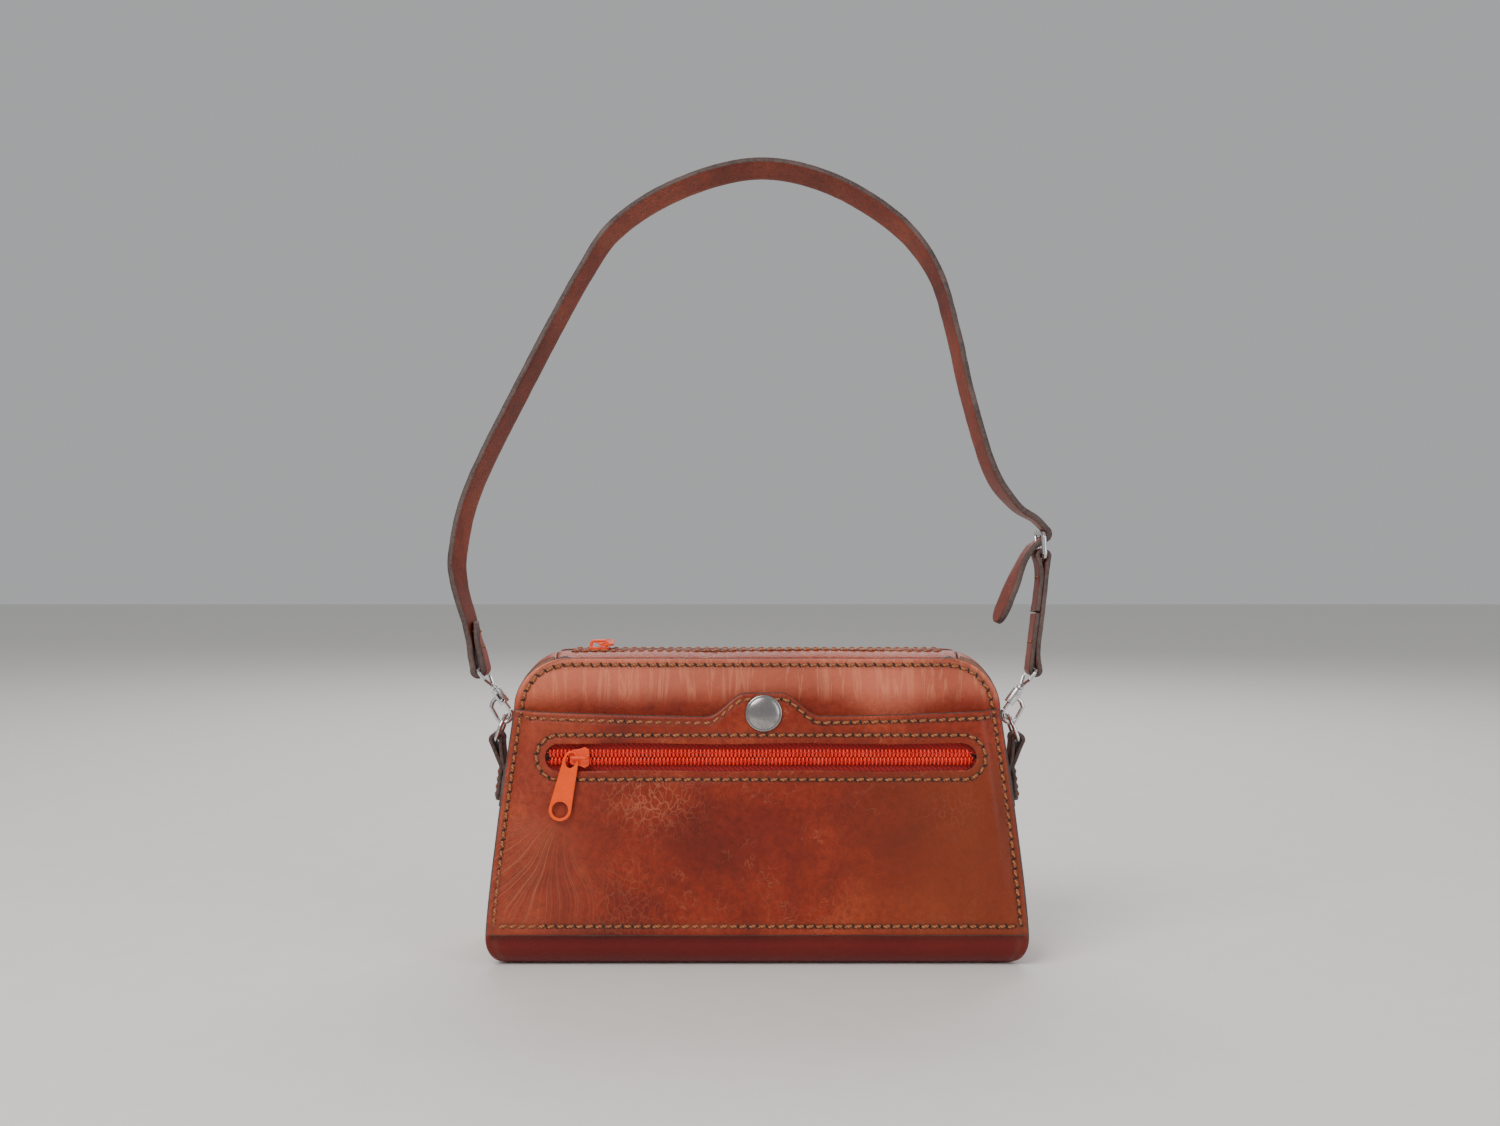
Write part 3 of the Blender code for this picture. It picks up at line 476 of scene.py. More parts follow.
def front_place(x, z):
    """A frame lying on the pocket panel at x, z."""
    depth = panel_depth(x, z)
    return basis(Vector((x, -depth, z)), *front_axes())


def front_zip_place():
    place = front_place(0.0, SLOT_Z)
    place.translation.x = SLOT_CENTRE_X
    return place


def top_zip_place():
    return basis(Vector((0.0, 0.0, TOP_ZIP_Z)), Vector((0.0, -1.0, 0.0)), Vector((0.0, 0.0, 1.0)))


# ---------------------------------------------------------------- where the leather is marked

def seam_distance(x, z, pocket):
    """Distance to the nearest row of stitches on the front or back."""
    found = [abs(half_width(z) - SEAM_INSET - abs(x))]
    if z > CORNER_Z:
        reach = math.hypot(max(0.0, abs(x) - CORNER_X), z - CORNER_Z)
        found.append(abs(CORNER_R - SEAM_INSET + CORNER_EASE - reach))
    if pocket:
        found.append(abs(z - LOW_ROW_Z))
        found.append(abs(panel_top(x) - MOUTH_ROW - z))
        found.append(abs(outside_slot(x - SLOT_CENTRE_X, z - SLOT_Z) - SLOT_ROW))
    return min(found)


def outside_slot(x, z):
    """How far a point lies outside the zip window, from the window's centre."""
    reach = max(0.0, abs(x) - SLOT_LENGTH / 2 + SLOT_HEIGHT / 2)
    return math.hypot(reach, z) - SLOT_HEIGHT / 2


def front_marks(x, z, pocket):
    """What the leather's shader reads at a point of the front or back."""
    edge = math.exp(-max(0.0, half_width(z) - abs(x)) / 0.004)
    seam = math.exp(-((seam_distance(x, z, pocket) / 0.0011) ** 2))
    blot = noise.noise(Vector((x * 28, 3.0, z * 28)))
    crease = 0.75 * hump(x, -0.043, 0.017) * hump(z, 0.067, 0.011)
    crease = max(crease, 0.60 * hump(x, 0.079, 0.012) * hump(z, 0.063, 0.009))
    crease = max(crease, 0.05 + 0.22 * blot)
    # The upper band: a blotchy painted highlight that grows towards the top of the body
    band = 0.42 * smooth((z - 0.102) / 0.012) + 0.35 * blot
    away = (x + 0.078, z - 0.062)
    angle = math.atan2(away[1], away[0])
    reach = math.hypot(*away)
    fan = 0.8 * smooth(reach / 0.014) * smooth((0.058 - reach) / 0.035) * hump(angle, -2.1, 0.85)
    return {
        "seam": seam,
        "tone": 0.30 * blot - 0.25 + 0.30 * edge,
        # The body's pink upper band is a painted highlight; the pocket's left end gets a faint pink tint
        "pink": 0.07 * hump(x, -0.095, 0.03) if pocket else (z > 0.09) * band,
        "ochre": 0.75 * smooth((x - 0.015) / 0.07) * smooth((0.095 - z) / 0.02) if pocket else 0.0,
        "pull": 0.85 * smooth((z - 0.104) / 0.008) if not pocket else 0.0,
        "crease": max(0.0, crease),
        "fan": fan if pocket else 0.0,
        "fan_angle": angle * 4 + 0.5 * noise.noise(Vector((x * 55, 9.0, z * 55))),
        # low: painted shade, deep red on the bottom 14 mm of the body, under the pocket, where the strip
        # faces down
        "low": 0.90 * smooth((0.0140 - z) / 0.0022),
    }


def quiet_marks(x, y, z):
    """Marks for the gussets and the zip band."""
    blot = noise.noise(Vector((x * 30, y * 30, z * 30)))
    marks = dict.fromkeys(("seam", "ochre", "pull", "fan", "fan_angle"), 0.0)
    marks.update(tone=0.25 * blot - 0.1, pink=0.10, crease=max(0.0, 0.25 + 0.3 * blot))
    # low: painted shade, darker towards the foot of the gussets
    marks["low"] = 0.6 * smooth((0.012 - z) / 0.008)
    return marks


def wrinkle(x, z, lift=1.0):
    """Small real unevenness of the hide, in metres."""
    broad = noise.noise(Vector((x * 18, 1.7, z * 22))) * 0.0005
    near = noise.noise(Vector((x * 60, 5.1, z * 45))) * 0.00022
    return (broad + near) * lift


# ---------------------------------------------------------------- meshes

def link(name, mesh, materials, body, nodes=()):
    obj = bpy.data.objects.new(name, mesh)
    bpy.context.scene.collection.objects.link(obj)
    for finish in materials:
        mesh.materials.append(finish)
    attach(obj, body)
    if nodes:
        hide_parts(*nodes)
    return obj


def closed_mesh(name, verts, faces, kinds=None, weld=0.0):
    """A smooth mesh with its faces turned outwards."""
    mesh = bpy.data.meshes.new(name)
    mesh.from_pydata(verts, [], faces)
    if kinds:
        mesh.polygons.foreach_set("material_index", kinds)
    build = bmesh.new()
    build.from_mesh(mesh)
    bmesh.ops.remove_doubles(build, verts=build.verts, dist=weld)
    bmesh.ops.recalc_face_normals(build, faces=build.faces)
    build.to_mesh(mesh)
    build.free()
    mesh.shade_smooth()
    return mesh


def bake_modifiers(obj):
    """Replaces the object's mesh by what its modifiers make of it."""
    bpy.context.view_layer.update()
    graph = bpy.context.evaluated_depsgraph_get()
    shown = obj.evaluated_get(graph)
    mesh = bpy.data.meshes.new_from_object(shown, preserve_all_data_layers=True, depsgraph=graph)
    obj.modifiers.clear()
    obj.data = mesh


def tube_faces(rings, count):
    """Quads round a stack of rings, and a cap at each end."""
    faces = []
    for r in range(rings - 1):
        for k in range(count):
            j = (k + 1) % count
            faces.append((r * count + k, r * count + j, (r + 1) * count + j, (r + 1) * count + k))
    return faces + [tuple(reversed(range(count))), tuple(range((rings - 1) * count, rings * count))]


def leather_sheet(name, points, marks, thickness):
    """A closed hide: points[row][column] is its grain side; material 0 grain, 1 edge, 2 back."""
    grid = np.array(points, float)
    rows, columns = grid.shape[:2]
    across = np.gradient(grid, axis=1)
    along = np.gradient(grid, axis=0)
    normal = np.cross(across, along)
    normal /= np.maximum(np.linalg.norm(normal, axis=2, keepdims=True), 1e-12)
    back = grid - normal * thickness
    border = [(0, c) for c in range(columns)] + [(r, columns - 1) for r in range(1, rows)]
    border += [(rows - 1, c) for c in range(columns - 2, -1, -1)] + [(r, 0) for r in range(rows - 2, 0, -1)]
    outward = {}
    for r, c in border:
        inner = grid[min(max(r, 1), rows - 2), min(max(c, 1), columns - 2)]
        away = grid[r, c] - inner
        outward[r, c] = away / max(np.linalg.norm(away), 1e-9)
    rim = [(grid[s] + back[s]) / 2 + outward[s] * thickness * RIM_SWELL for s in border]
    for s in border:
        trim = outward[s] * thickness * EDGE_TRIM
        drop = normal[s] * thickness * EDGE_DROP
        grid[s] = grid[s] - trim - drop
        back[s] = back[s] - trim + drop
    count = rows * columns
    verts = np.concatenate([grid.reshape(-1, 3), back.reshape(-1, 3), np.array(rim)])
    faces = []
    kinds = []
    for r in range(rows - 1):
        for c in range(columns - 1):
            a = r * columns + c
            faces.append((a, a + 1, a + columns + 1, a + columns))
            faces.append((count + a, count + a + columns, count + a + columns + 1, count + a + 1))
            kinds += [0, 2]
    for i, (r, c) in enumerate(border):
        j = (i + 1) % len(border)
        here = r * columns + c
        there = border[j][0] * columns + border[j][1]
        faces.append((there, here, 2 * count + i, 2 * count + j))
        faces.append((2 * count + j, 2 * count + i, count + here, count + there))
        kinds += [1, 1]
    mesh = bpy.data.meshes.new(name)
    mesh.from_pydata([tuple(v) for v in verts], [], faces)
    mesh.polygons.foreach_set("material_index", kinds)
    mesh.shade_smooth()
    order = list(range(count)) * 2 + [r * columns + c for r, c in border]
    for key in marks[0][0] if marks else ():
        values = [mark[key] for line in marks for mark in line]
        attribute = mesh.attributes.new(key, "FLOAT", "POINT")
        attribute.data.foreach_set("value", [values[i] for i in order])
    return mesh


def mesh_of(name, parts):
    """One mesh from several (verts, faces, material)."""
    verts, faces, kinds = [], [], []
    for points, polygons, kind in parts:
        base = len(verts)
        verts += points
        faces += [tuple(base + i for i in polygon) for polygon in polygons]
        kinds += [kind] * len(polygons)
    mesh = bpy.data.meshes.new(name)
    mesh.from_pydata([tuple(v) for v in verts], [], faces)
    mesh.polygons.foreach_set("material_index", kinds)
    mesh.shade_smooth()
    return mesh


def swept(points, radii, side, up, count=6, kind=0):
    """A closed tube through points with its own half width and half height at each."""
    verts = []
    for point, (wide, high) in zip(points, radii):
        for i in range(count):
            turn = math.tau * i / count
            verts.append(point + side * (wide * math.cos(turn)) + up * (high * math.sin(turn)))
    return verts, tube_faces(len(points), count), kind


def one_stitch(middle, along, normal, slant, size=1.0):
    """A plump thread that dives into the leather at both ends, over two dark holes."""
    side = normal.cross(along).normalized()
    turned = (along * math.cos(slant) + side * math.sin(slant)).normalized()
    side = normal.cross(turned).normalized()
    points, radii = [], []
    for t in (-1.0, -0.8, -0.45, 0.0, 0.45, 0.8, 1.0):
        rise = 0.30 * (1 - t * t) - 0.22 * t**4
        points.append(middle + turned * (t * STITCH_LENGTH * size / 2) + normal * (rise * MM * size))
        wide = THREAD * size * (0.45 + 0.55 * math.sqrt(max(0.0, 1 - t * t)))
        radii.append((wide, wide * 0.72))
    parts = [swept(points, radii, side, normal)]
    for t in (-1.08, 1.08):
        centre = middle + turned * (t * STITCH_LENGTH * size / 2) + normal * 0.00005
        ring = []
        for i in range(8):
            turn = math.tau * i / 8
            reach = turned * (0.00052 * size * math.cos(turn)) + side * (0.00066 * size * math.sin(turn))
            ring.append(centre + reach)
        low = [point - normal * 0.0004 for point in ring]
        parts.append((low + ring, tube_faces(2, 8), 1))
    return parts


def sew(path, seed, size=1.0, pitch=STITCH_PITCH):
    """Stitches along a path of (point, normal)."""
    chance = random.Random(seed)
    lengths = [0.0]
    for (a, _), (b, _) in zip(path, path[1:]):
        lengths.append(lengths[-1] + (b - a).length)
    total = lengths[-1]
    count = max(1, int(total / pitch))
    parts = []
    k = 0
    for i in range(count):
        at = (i + 0.5) * total / count
        while lengths[k + 1] < at and k < len(path) - 2:
            k += 1
        t = (at - lengths[k]) / max(1e-9, lengths[k + 1] - lengths[k])
        (a, na), (b, nb) = path[k], path[k + 1]
        middle = a.lerp(b, t)
        normal = na.lerp(nb, t).normalized()
        along = (b - a).normalized()
        slant = math.radians(11 + chance.uniform(-4, 4))
        parts += one_stitch(middle, along, normal, slant, size * chance.uniform(0.92, 1.05))
    return parts


# ---------------------------------------------------------------- the leather pieces

def profile_stations(step):
    """(y, z) points down the front and round its lower bend, and those under the base."""
    heights = spread(BASE_RADIUS + 0.0005, CORNER_Z, int((CORNER_Z - BASE_RADIUS) / step))
    heights += [CORNER_Z + CORNER_R * math.sin(math.radians(6 * i)) for i in range(1, 16)]
    front = [(-half_depth(z), z) for z in reversed(heights)]
    bend = BASE_HALF_DEPTH - BASE_RADIUS
    for i in range(13):
        angle = math.radians(7.5 * i)
        front.append((-bend - BASE_RADIUS * math.cos(angle), BASE_RADIUS * (1 - math.sin(angle))))
    under = [(y, 0.0) for y in spread(-bend, bend, 16)[1:-1]]
    return front, under


def body_point(y, z, u):
    """A point of the hide: slightly uneven, with the back swelling a little."""
    x = half_width(z) * u
    if z > BASE_RADIUS:
        y -= math.copysign(wrinkle(x + 0.3 * (y > 0), z) * smooth((1 - abs(u)) / 0.03), y)
        if y > 0:
            y += 0.0016 * smooth((1 - abs(u)) / 0.5) * hump(z, 0.055, 0.04)
    return x, y, z


def make_body(finishes):
    front, under = profile_stations(0.0017)
    stations = front + under + [(-y, z) for y, z in reversed(front)]
    columns = [-u for u in spread(-1.0, 1.0, 121)]
    points = [[body_point(y, z, u) for u in columns] for y, z in stations]
    marks = [[front_marks(x, z, False) for x, y, z in row] for row in points]
    mesh = leather_sheet("body_leather", points, marks, LEATHER)
    link("body_leather", mesh, finishes, "bag", ["body_wrap"])


def panel_point(column, v):
    """A point of the pocket: column is its x at a half width of 0.1, v runs from its foot to its mouth."""
    top = panel_top(column)
    z = PANEL_LOW_Z + (top - PANEL_LOW_Z) * v
    scaled = column / 0.1 * (half_width(z) - PANEL_MARGIN)
    near = smooth((abs(column - TAB_X) - TAB_HALF * 1.6) / 0.03)
    x = column * (1 - near) + scaled * near
    flat = smooth((abs(z - SLOT_Z) - 0.006) / 0.008)
    lift = wrinkle(x + 1.0, z, 1.2) * flat * smooth((0.1 - abs(column)) / 0.004)
    return x, -panel_depth(x, z) - lift, z


def make_pocket(finishes):
    columns = [-u for u in spread(-0.1, 0.1, 171)]
    points = [[panel_point(column, v) for column in columns] for v in spread(1.0, 0.0, 84)]
    marks = [[front_marks(x, z, True) for x, y, z in row] for row in points]
    mesh = leather_sheet("pocket_leather", points, marks, LEATHER)
    obj = link("pocket_leather", mesh, finishes, "bag", ["pocket_panel"])
    cutter = slot_cutter(finishes[1])
    step = obj.modifiers.new("slot", "BOOLEAN")
    step.operation = "DIFFERENCE"
    step.object = cutter
    step.material_mode = "TRANSFER"
    bake_modifiers(obj)
    darken_lip(obj.data)
    bpy.data.objects.remove(cutter)


def darken_lip(mesh):
    """The walls of the zip window show the raw edge of the leather."""
    place = front_zip_place()
    inverse = place.inverted()
    normal = place.to_3x3() @ Vector((0.0, 0.0, 1.0))
    for face in mesh.polygons:
        spot = inverse @ face.center
        if abs(outside_slot(spot.x, spot.y)) < 0.0006 and abs(face.normal.dot(normal)) < 0.6:
            face.material_index = 1


def slot_cutter(edge):
    """The zip window: a long slot, cut by hand and so a little uneven."""
    place = front_zip_place()
    ring = []
    radius = SLOT_HEIGHT / 2
    reach = SLOT_LENGTH / 2 - radius
    for side in (1, -1):
        for i in range(13):
            turn = math.radians(-90 + 15 * i)
            ring.append((side * (reach + radius * math.cos(turn)), side * radius * math.sin(turn)))
        for i in range(1, 24):
            ring.append((side * (reach - 2 * reach * i / 24), side * radius))
    waver = [(x, y + 0.00025 * math.sin(x * 95) * (abs(y) > radius * 0.98)) for x, y in ring]
    near = [place @ Vector((x, y, 0.004)) for x, y in waver]
    far = [place @ Vector((x, y, -0.005)) for x, y in waver]
    mesh = closed_mesh("slot_cutter", near + far, tube_faces(2, len(ring)))
    mesh.shade_flat()
    mesh.materials.append(edge)
    cutter = bpy.data.objects.new("slot_cutter", mesh)
    bpy.context.scene.collection.objects.link(cutter)
    return cutter


def band_station(angle):
    turn = math.radians(angle)
    x = CORNER_X + (SHOULDER_HALF - CORNER_X - GUSSET_INSET) * math.cos(turn)
    z = CORNER_Z + (CORNER_R - BAND_DROP) * math.sin(turn)
    return x, z, math.cos(turn), math.sin(turn)


def gusset_section(half, swell, reach):
    """(outward offset, y) across a gusset: out of the front seam, over the middle, into the back one."""
    lay = half - GUSSET_THICK
    side = [(reach, -lay), (reach * 0.66, -lay), (reach * 0.33, -lay), (0.0004, -lay)]
    middle = []
    for v in spread(-1.0, 1.0, 29):
        y = v * (lay - 0.0009)
        middle.append((swell * (1 - abs(v) ** 2.3) - 0.0005, y))
    return side + middle + [(o, -y) for o, y in reversed(side)]


def make_gusset(name, side, finishes):
    stations = []
    for z in [0.0026, 0.0032, 0.0042, 0.0056, 0.0075, 0.0100, 0.0130] + spread(0.016, CORNER_Z, 48):
        stations.append((half_width(z) - GUSSET_INSET, z, 1.0, 0.0))
    for i in range(1, 20):
        stations.append(band_station((BAND_END_ANGLE - 2) * i / 19))
    points = []
    for x, z, out_x, out_z in stations:
        swell = GUSSET_BULGE * smooth(z / 0.020)
        row = []
        for offset, y in gusset_section(inner_half_depth(z) - GAP, swell, GUSSET_INSET - 0.0004):
            offset += 0.0005 * noise.noise(Vector((side, y * 50, z * 40)))
            row.append((side * (x + out_x * offset), y * side, z + out_z * offset))
        points.append(row)
    marks = [[quiet_marks(*p) for p in row] for row in points]
    mesh = leather_sheet(name + "_leather", points, marks, GUSSET_THICK)
    link(name + "_leather", mesh, finishes, "bag", [name])


def strip_section(half, swell):
    """(outward offset, y) from the zip window out to the front seam of the zip band."""
    lay = half - GUSSET_THICK
    row = []
    for y in spread(ZIP_WINDOW_HALF, lay - 0.0008, 13):
        row.append((swell * (1 - (y / half) ** 2.2), y))
    return row + [(0.0001, lay), (0.0007, lay), (BAND_DROP - 0.0002, lay)]


def strip_lift(x):
    """The front strip stands a little proud right of its middle."""
    return 0.0007 * hump(x, 0.022, 0.03)


def make_strip(name, front, finishes):
    stations = []
    for i in range(5):
        stations.append(band_station(BAND_END_ANGLE + (90 - BAND_END_ANGLE) * i / 4))
    for x in spread(0.0775, 0.0, 53):
        stations.append((x, CORNER_Z + CORNER_R - BAND_DROP, 0.0, 1.0))
    stations += [(-x, z, -out_x, out_z) for x, z, out_x, out_z in reversed(stations[:-1])]
    points = []
    for x, z, out_x, out_z in stations:
        lift = strip_lift(x) if front > 0 else 0.0
        row = []
        for offset, y in strip_section(inner_half_depth(z) - GAP, GUSSET_BULGE + lift):
            offset += 0.0003 * noise.noise(Vector((x * 60, y * 60, front)))
            row.append((x + out_x * offset, -front * y, z + out_z * offset))
        points.append(row if front < 0 else row[::-1])
    marks = [[quiet_marks(*p) for p in row] for row in points]
    mesh = leather_sheet(name + "_leather", points, marks, GUSSET_THICK)
    link(name + "_leather", mesh, finishes, "bag", [name])


def outline_path(side, depth_at):
    """The seam round the sides and top of the front (-1) or back (1): (point, normal) pairs."""
    normal = front_axes()[1]
    normal.y *= -side
    path = []
    for z in spread(LOW_ROW_Z, CORNER_Z, 60):
        path.append((-(half_width(z) - SEAM_INSET), z))
    reach = CORNER_R - SEAM_INSET + CORNER_EASE
    for i in range(1, 12):
        turn = math.radians(90 * i / 12)
        path.append((-(CORNER_X + reach * math.cos(turn)), CORNER_Z + reach * math.sin(turn)))
    for x in spread(-CORNER_X, 0.0, 20):
        path.append((x, TOP_Z - SEAM_INSET + 0.0010))
    path += [(-x, z) for x, z in reversed(path[:-1])]
    return [(Vector((x, side * depth_at(x, z), z)) + normal * 0.00010, normal) for x, z in path]


def front_face(x, z):
    """The depth of what the outline's stitches lie on: the pocket, or the body above it."""
    if z < panel_top(x):
        return panel_depth(x, z)
    return half_depth(z) + wrinkle(x, z) * 0.6


def slot_row():
    """(x, z) points once round the zip window."""
    around = []
    radius = SLOT_HEIGHT / 2 + SLOT_ROW
    reach = SLOT_LENGTH / 2 - SLOT_HEIGHT / 2
    for side in (1, -1):
        for x in spread(-side * reach, side * reach, 60):
            around.append((SLOT_CENTRE_X + x, SLOT_Z - side * radius))
        for i in range(1, 16):
            turn = math.radians(-90 + 180 * i / 16)
            x = SLOT_CENTRE_X + side * (reach + radius * math.cos(turn))
            around.append((x, SLOT_Z + side * radius * math.sin(turn)))
    return around + around[:1]


def zip_band_row(side):
    """The row beside the top zip, on its front (-1) or back (1) strip."""
    y = ZIP_WINDOW_HALF + ZIP_ROW
    half = inner_half_depth(TOP_Z) - GAP
    normal = Vector((0.0, side * 0.25, 1.0)).normalized()
    line = []
    for x in spread(-0.0765, 0.0765, 80):
        lift = strip_lift(x) if side < 0 else 0.0
        rise = (GUSSET_BULGE + lift) * (1 - (y / half) ** 2.2)
        line.append((Vector((x, side * y, CORNER_Z + CORNER_R - BAND_DROP + rise + 0.0001)), normal))
    return line


def make_stitching(sewing):
    normal = front_axes()[1]

    def on_panel(points):
        return [(Vector((x, -panel_depth(x, z), z)) + normal * 0.00012, normal) for x, z in points]

    def back_depth(x, z):
        return half_depth(z) + 0.0002

    low = [(x, LOW_ROW_Z) for x in spread(-0.1035, 0.1035, 80)]
    mouth = [(x, panel_top(x) - MOUTH_ROW) for x in spread(-0.0945, 0.0945, 220)]
    parts = sew(outline_path(-1, front_face), 3)
    for seed, row in ((5, low), (7, mouth), (9, slot_row())):
        parts += sew(on_panel(row), seed)
    add_stitches("stitching_front", parts, sewing, "bag")
    parts = sew(outline_path(1, back_depth), 11)
    half = half_width(LOW_ROW_Z) - SEAM_INSET
    depth = back_depth(0.0, LOW_ROW_Z)
    parts += sew([(Vector((x, depth, LOW_ROW_Z)), Vector((0, 1, 0))) for x in spread(half, -half, 60)], 13)
    add_stitches("stitching_back", parts, sewing, "bag")
    parts = sew(zip_band_row(-1), 16) + sew(zip_band_row(1), 18)
    add_stitches("stitching_zip_band", parts, sewing, "bag")


def add_stitches(name, parts, sewing, body):
    link(name, mesh_of(name, parts), sewing, body)


def ring_arc(centre, radius, start, end, count=17):
    """Points round a bar between two angles in degrees."""
    return [
        (centre[0] + radius * math.cos(math.radians(a)), centre[1] + radius * math.sin(math.radians(a)))
        for a in spread(start, end, count)
    ]


def gusset_face(z):
    return half_width(z) - GUSSET_INSET + GUSSET_BULGE * smooth(z / 0.020)


def make_tab(side, finishes, sewing):
    """The ring tab: one strip of leather doubled round the ring's bar, sewn through below it."""
    wrap = RING_WIRE + GAP + 0.0009
    bar = (RING_BAR_X, RING_BAR_Z)
    inner = [(gusset_face(z) + GAP + 0.0009, z) for z in spread(0.0605, 0.0750, 8)]
    inner += [(gusset_face(0.0785) + 0.0028, 0.0798)]
    loop = ring_arc(bar, wrap, 205, -35, 16)
    outer = [(gusset_face(z) + GAP + 0.0027, z) for z in spread(0.0770, 0.0622, 8)]
    path = smooth_path(inner + loop + outer, 0.0009)
    word = "left" if side < 0 else "right"
    node = "ring_tab_" + word
    strip(node + "_leather", path, 0.0017, 0.0105, finishes, "bag", [node], mirror=side,
          ends=(0.0, 0.004))
    parts = []
    for y in (-0.0031, 0.0031):
        line = []
        for z in spread(0.0640, 0.0765, 12):
            line.append((Vector((side * (gusset_face(z) + GAP + 0.0037), y, z)), Vector((side, 0, 0))))
        parts += sew(line, 23 + side, 0.82, 0.0031)
    add_stitches("stitching_tab_" + word, parts, sewing, "bag")


# ---------------------------------------------------------------- strap

def lean_back(z):
    rise = max(0.0, z - LEAN_START_Z)
    return STRAP_LEAN * (rise - LEAN_EASE * (1 - math.exp(-rise / LEAN_EASE)))


def smooth_path(points, spacing):
    """A smooth curve through points, sampled about every spacing."""
    ends = [points[0]] + list(points) + [points[-1]]
    made = []
    for before, start, end, after in zip(ends, ends[1:], ends[2:], ends[3:]):
        steps = max(1, round(math.dist(start, end) / spacing))
        for i in range(steps):
            t = i / steps
            point = []
            for a, b, c, d in zip(before, start, end, after):
                bend = (2 * a - 5 * b + 4 * c - d) * t * t
                point.append(0.5 * (2 * b + (c - a) * t + bend + (3 * b - a - 3 * c + d) * t**3))
            made.append(tuple(point))
    return made + [points[-1]]


def strip_frames(path, twist):
    """(point, along, across, out) at each point of a strap's path."""
    spots = [Vector((x, lean_back(z), z)) for x, z in path]
    frames = []
    for i, spot in enumerate(spots):
        along = (spots[min(i + 1, len(spots) - 1)] - spots[max(i - 1, 0)]).normalized()
        front = Vector((0.0, -1.0, 0.0))
        front = (front - along * front.dot(along)).normalized()
        front = Matrix.Rotation(-twist(*path[i]), 3, along) @ front
        frames.append((spot, along, front, along.cross(front)))
    return frames


def strip(name, path, thickness, width, finishes, body, nodes, twist=None, mirror=1, ends=(0.0, 0.0)):
    """A leather strip with rounded raw edges: material 0 is its grain side, 1 its edges, 2 its back."""
    frames = strip_frames(path, twist or (lambda x, z: 0.0))
    lengths = [0.0]
    for a, b in zip(frames, frames[1:]):
        lengths.append(lengths[-1] + (b[0] - a[0]).length)
    section = []
    for k in spread(-0.93, 0.93, 9):
        section.append((k, 0.5 + 0.04 * (1 - k * k), 0))
    section += [(0.985, 0.36, 1), (1.0, 0.0, 1), (0.985, -0.36, 1)]
    for k in spread(0.93, -0.93, 9):
        section.append((k, -0.5, 2))
    section += [(-0.985, -0.36, 1), (-1.0, 0.0, 1), (-0.985, 0.36, 1)]
    verts = []
    for (spot, along, front, flat), at in zip(frames, lengths):
        share = 1.0
        for reach, left in ((ends[0], at), (ends[1], lengths[-1] - at)):
            if reach > 0 and left < reach:
                share = min(share, max(0.10, math.sqrt(max(0.0, 1 - (1 - left / reach) ** 2))))
        ragged = 1 + 0.012 * noise.noise(Vector((at * 300, 2.0, 0.0)))
        for across, high, kind in section:
            lift = 0.00012 * noise.noise(spot * 220 + Vector((0, 0, across)))
            point = spot + front * (across * width / 2 * share * ragged) + flat * (high * thickness + lift)
            verts.append((mirror * point.x, mirror * point.y, point.z))
    kinds = [kind for _, _, kind in section]
    around = [kind if kind == after else 1 for kind, after in zip(kinds, kinds[1:] + kinds[:1])]
    kinds = around * (len(frames) - 1) + [1, 1]
    mesh = closed_mesh(name, verts, tube_faces(len(frames), len(section)), kinds)
    return link(name, mesh, finishes, body, nodes)


def ring_frame(side):
    up = Vector((-side * math.sin(RING_TILT), 0.0, math.cos(RING_TILT)))
    along = Vector((0.0, 1.0, 0.0))
    place = Matrix((along.cross(up), along, up)).transposed().to_4x4()
    place.translation = Vector((side * RING_BAR_X, 0.0, RING_BAR_Z))
    return place


def hook_frame(side):
    down = Vector((-side * math.sin(HOOK_LEAN), 0.0, -math.cos(HOOK_LEAN)))
    out = Vector((side * math.cos(HOOK_LEAN), 0.0, -math.sin(HOOK_LEAN)))
    wire = ring_frame(side) @ Vector((0.0, 0.0, RING_DEPTH))
    place = Matrix((out, down.cross(out), down)).transposed().to_4x4()
    place.translation = wire - out * WIRE_SIDE - down * WIRE_AT
    return place


def eye_bar(side):
    spot = hook_frame(side) @ Vector((0.0, 0.0, -EYE_LENGTH))
    return spot.x, spot.z


def long_strap_path():
    x, z = eye_bar(-1)
    radius = EYE_WIRE + GAP + STRAP_THICK / 2
    start = [(x - 0.0020, z + 0.0200), (x - 0.0008, z + 0.0120), (x + 0.0010, z + 0.0060)]
    round_eye = ring_arc((x, z), radius, 15, -195)
    arch = [
        (x - 0.0032, z + 0.0060), (x - 0.0036, z + 0.0120), (x - 0.0047, z + 0.0200),
        (-0.1250, 0.1535), (-0.1255, 0.1675), (-0.1196, 0.1930), (-0.1003, 0.2345), (-0.0746, 0.2845),
        (-0.0590, 0.3067), (-0.0315, 0.3237), (0.0006, 0.3318), (0.0310, 0.3256), (0.0596, 0.3080),
        (0.0760, 0.2868), (0.0838, 0.2605), (0.0895, 0.2332), (0.0986, 0.2010), (0.1085, 0.1860),
        (0.1170, 0.1800),
    ]
    over = ring_arc(BUCKLE_TOP, BUCKLE_WIRE + GAP + STRAP_THICK / 2 + 0.0001, 50, -42, 7)
    tail = [(0.1155, 0.1682), (0.1115, 0.1625), (0.1065, 0.1510), (0.1004, 0.1365)]
    path = smooth_path(start, 0.0012)[:-1] + round_eye + smooth_path(arch[:3], 0.0012)[:-1]
    return path + smooth_path(arch[2:] + over[:1], 0.0014)[:-1] + over + smooth_path(tail, 0.0012)


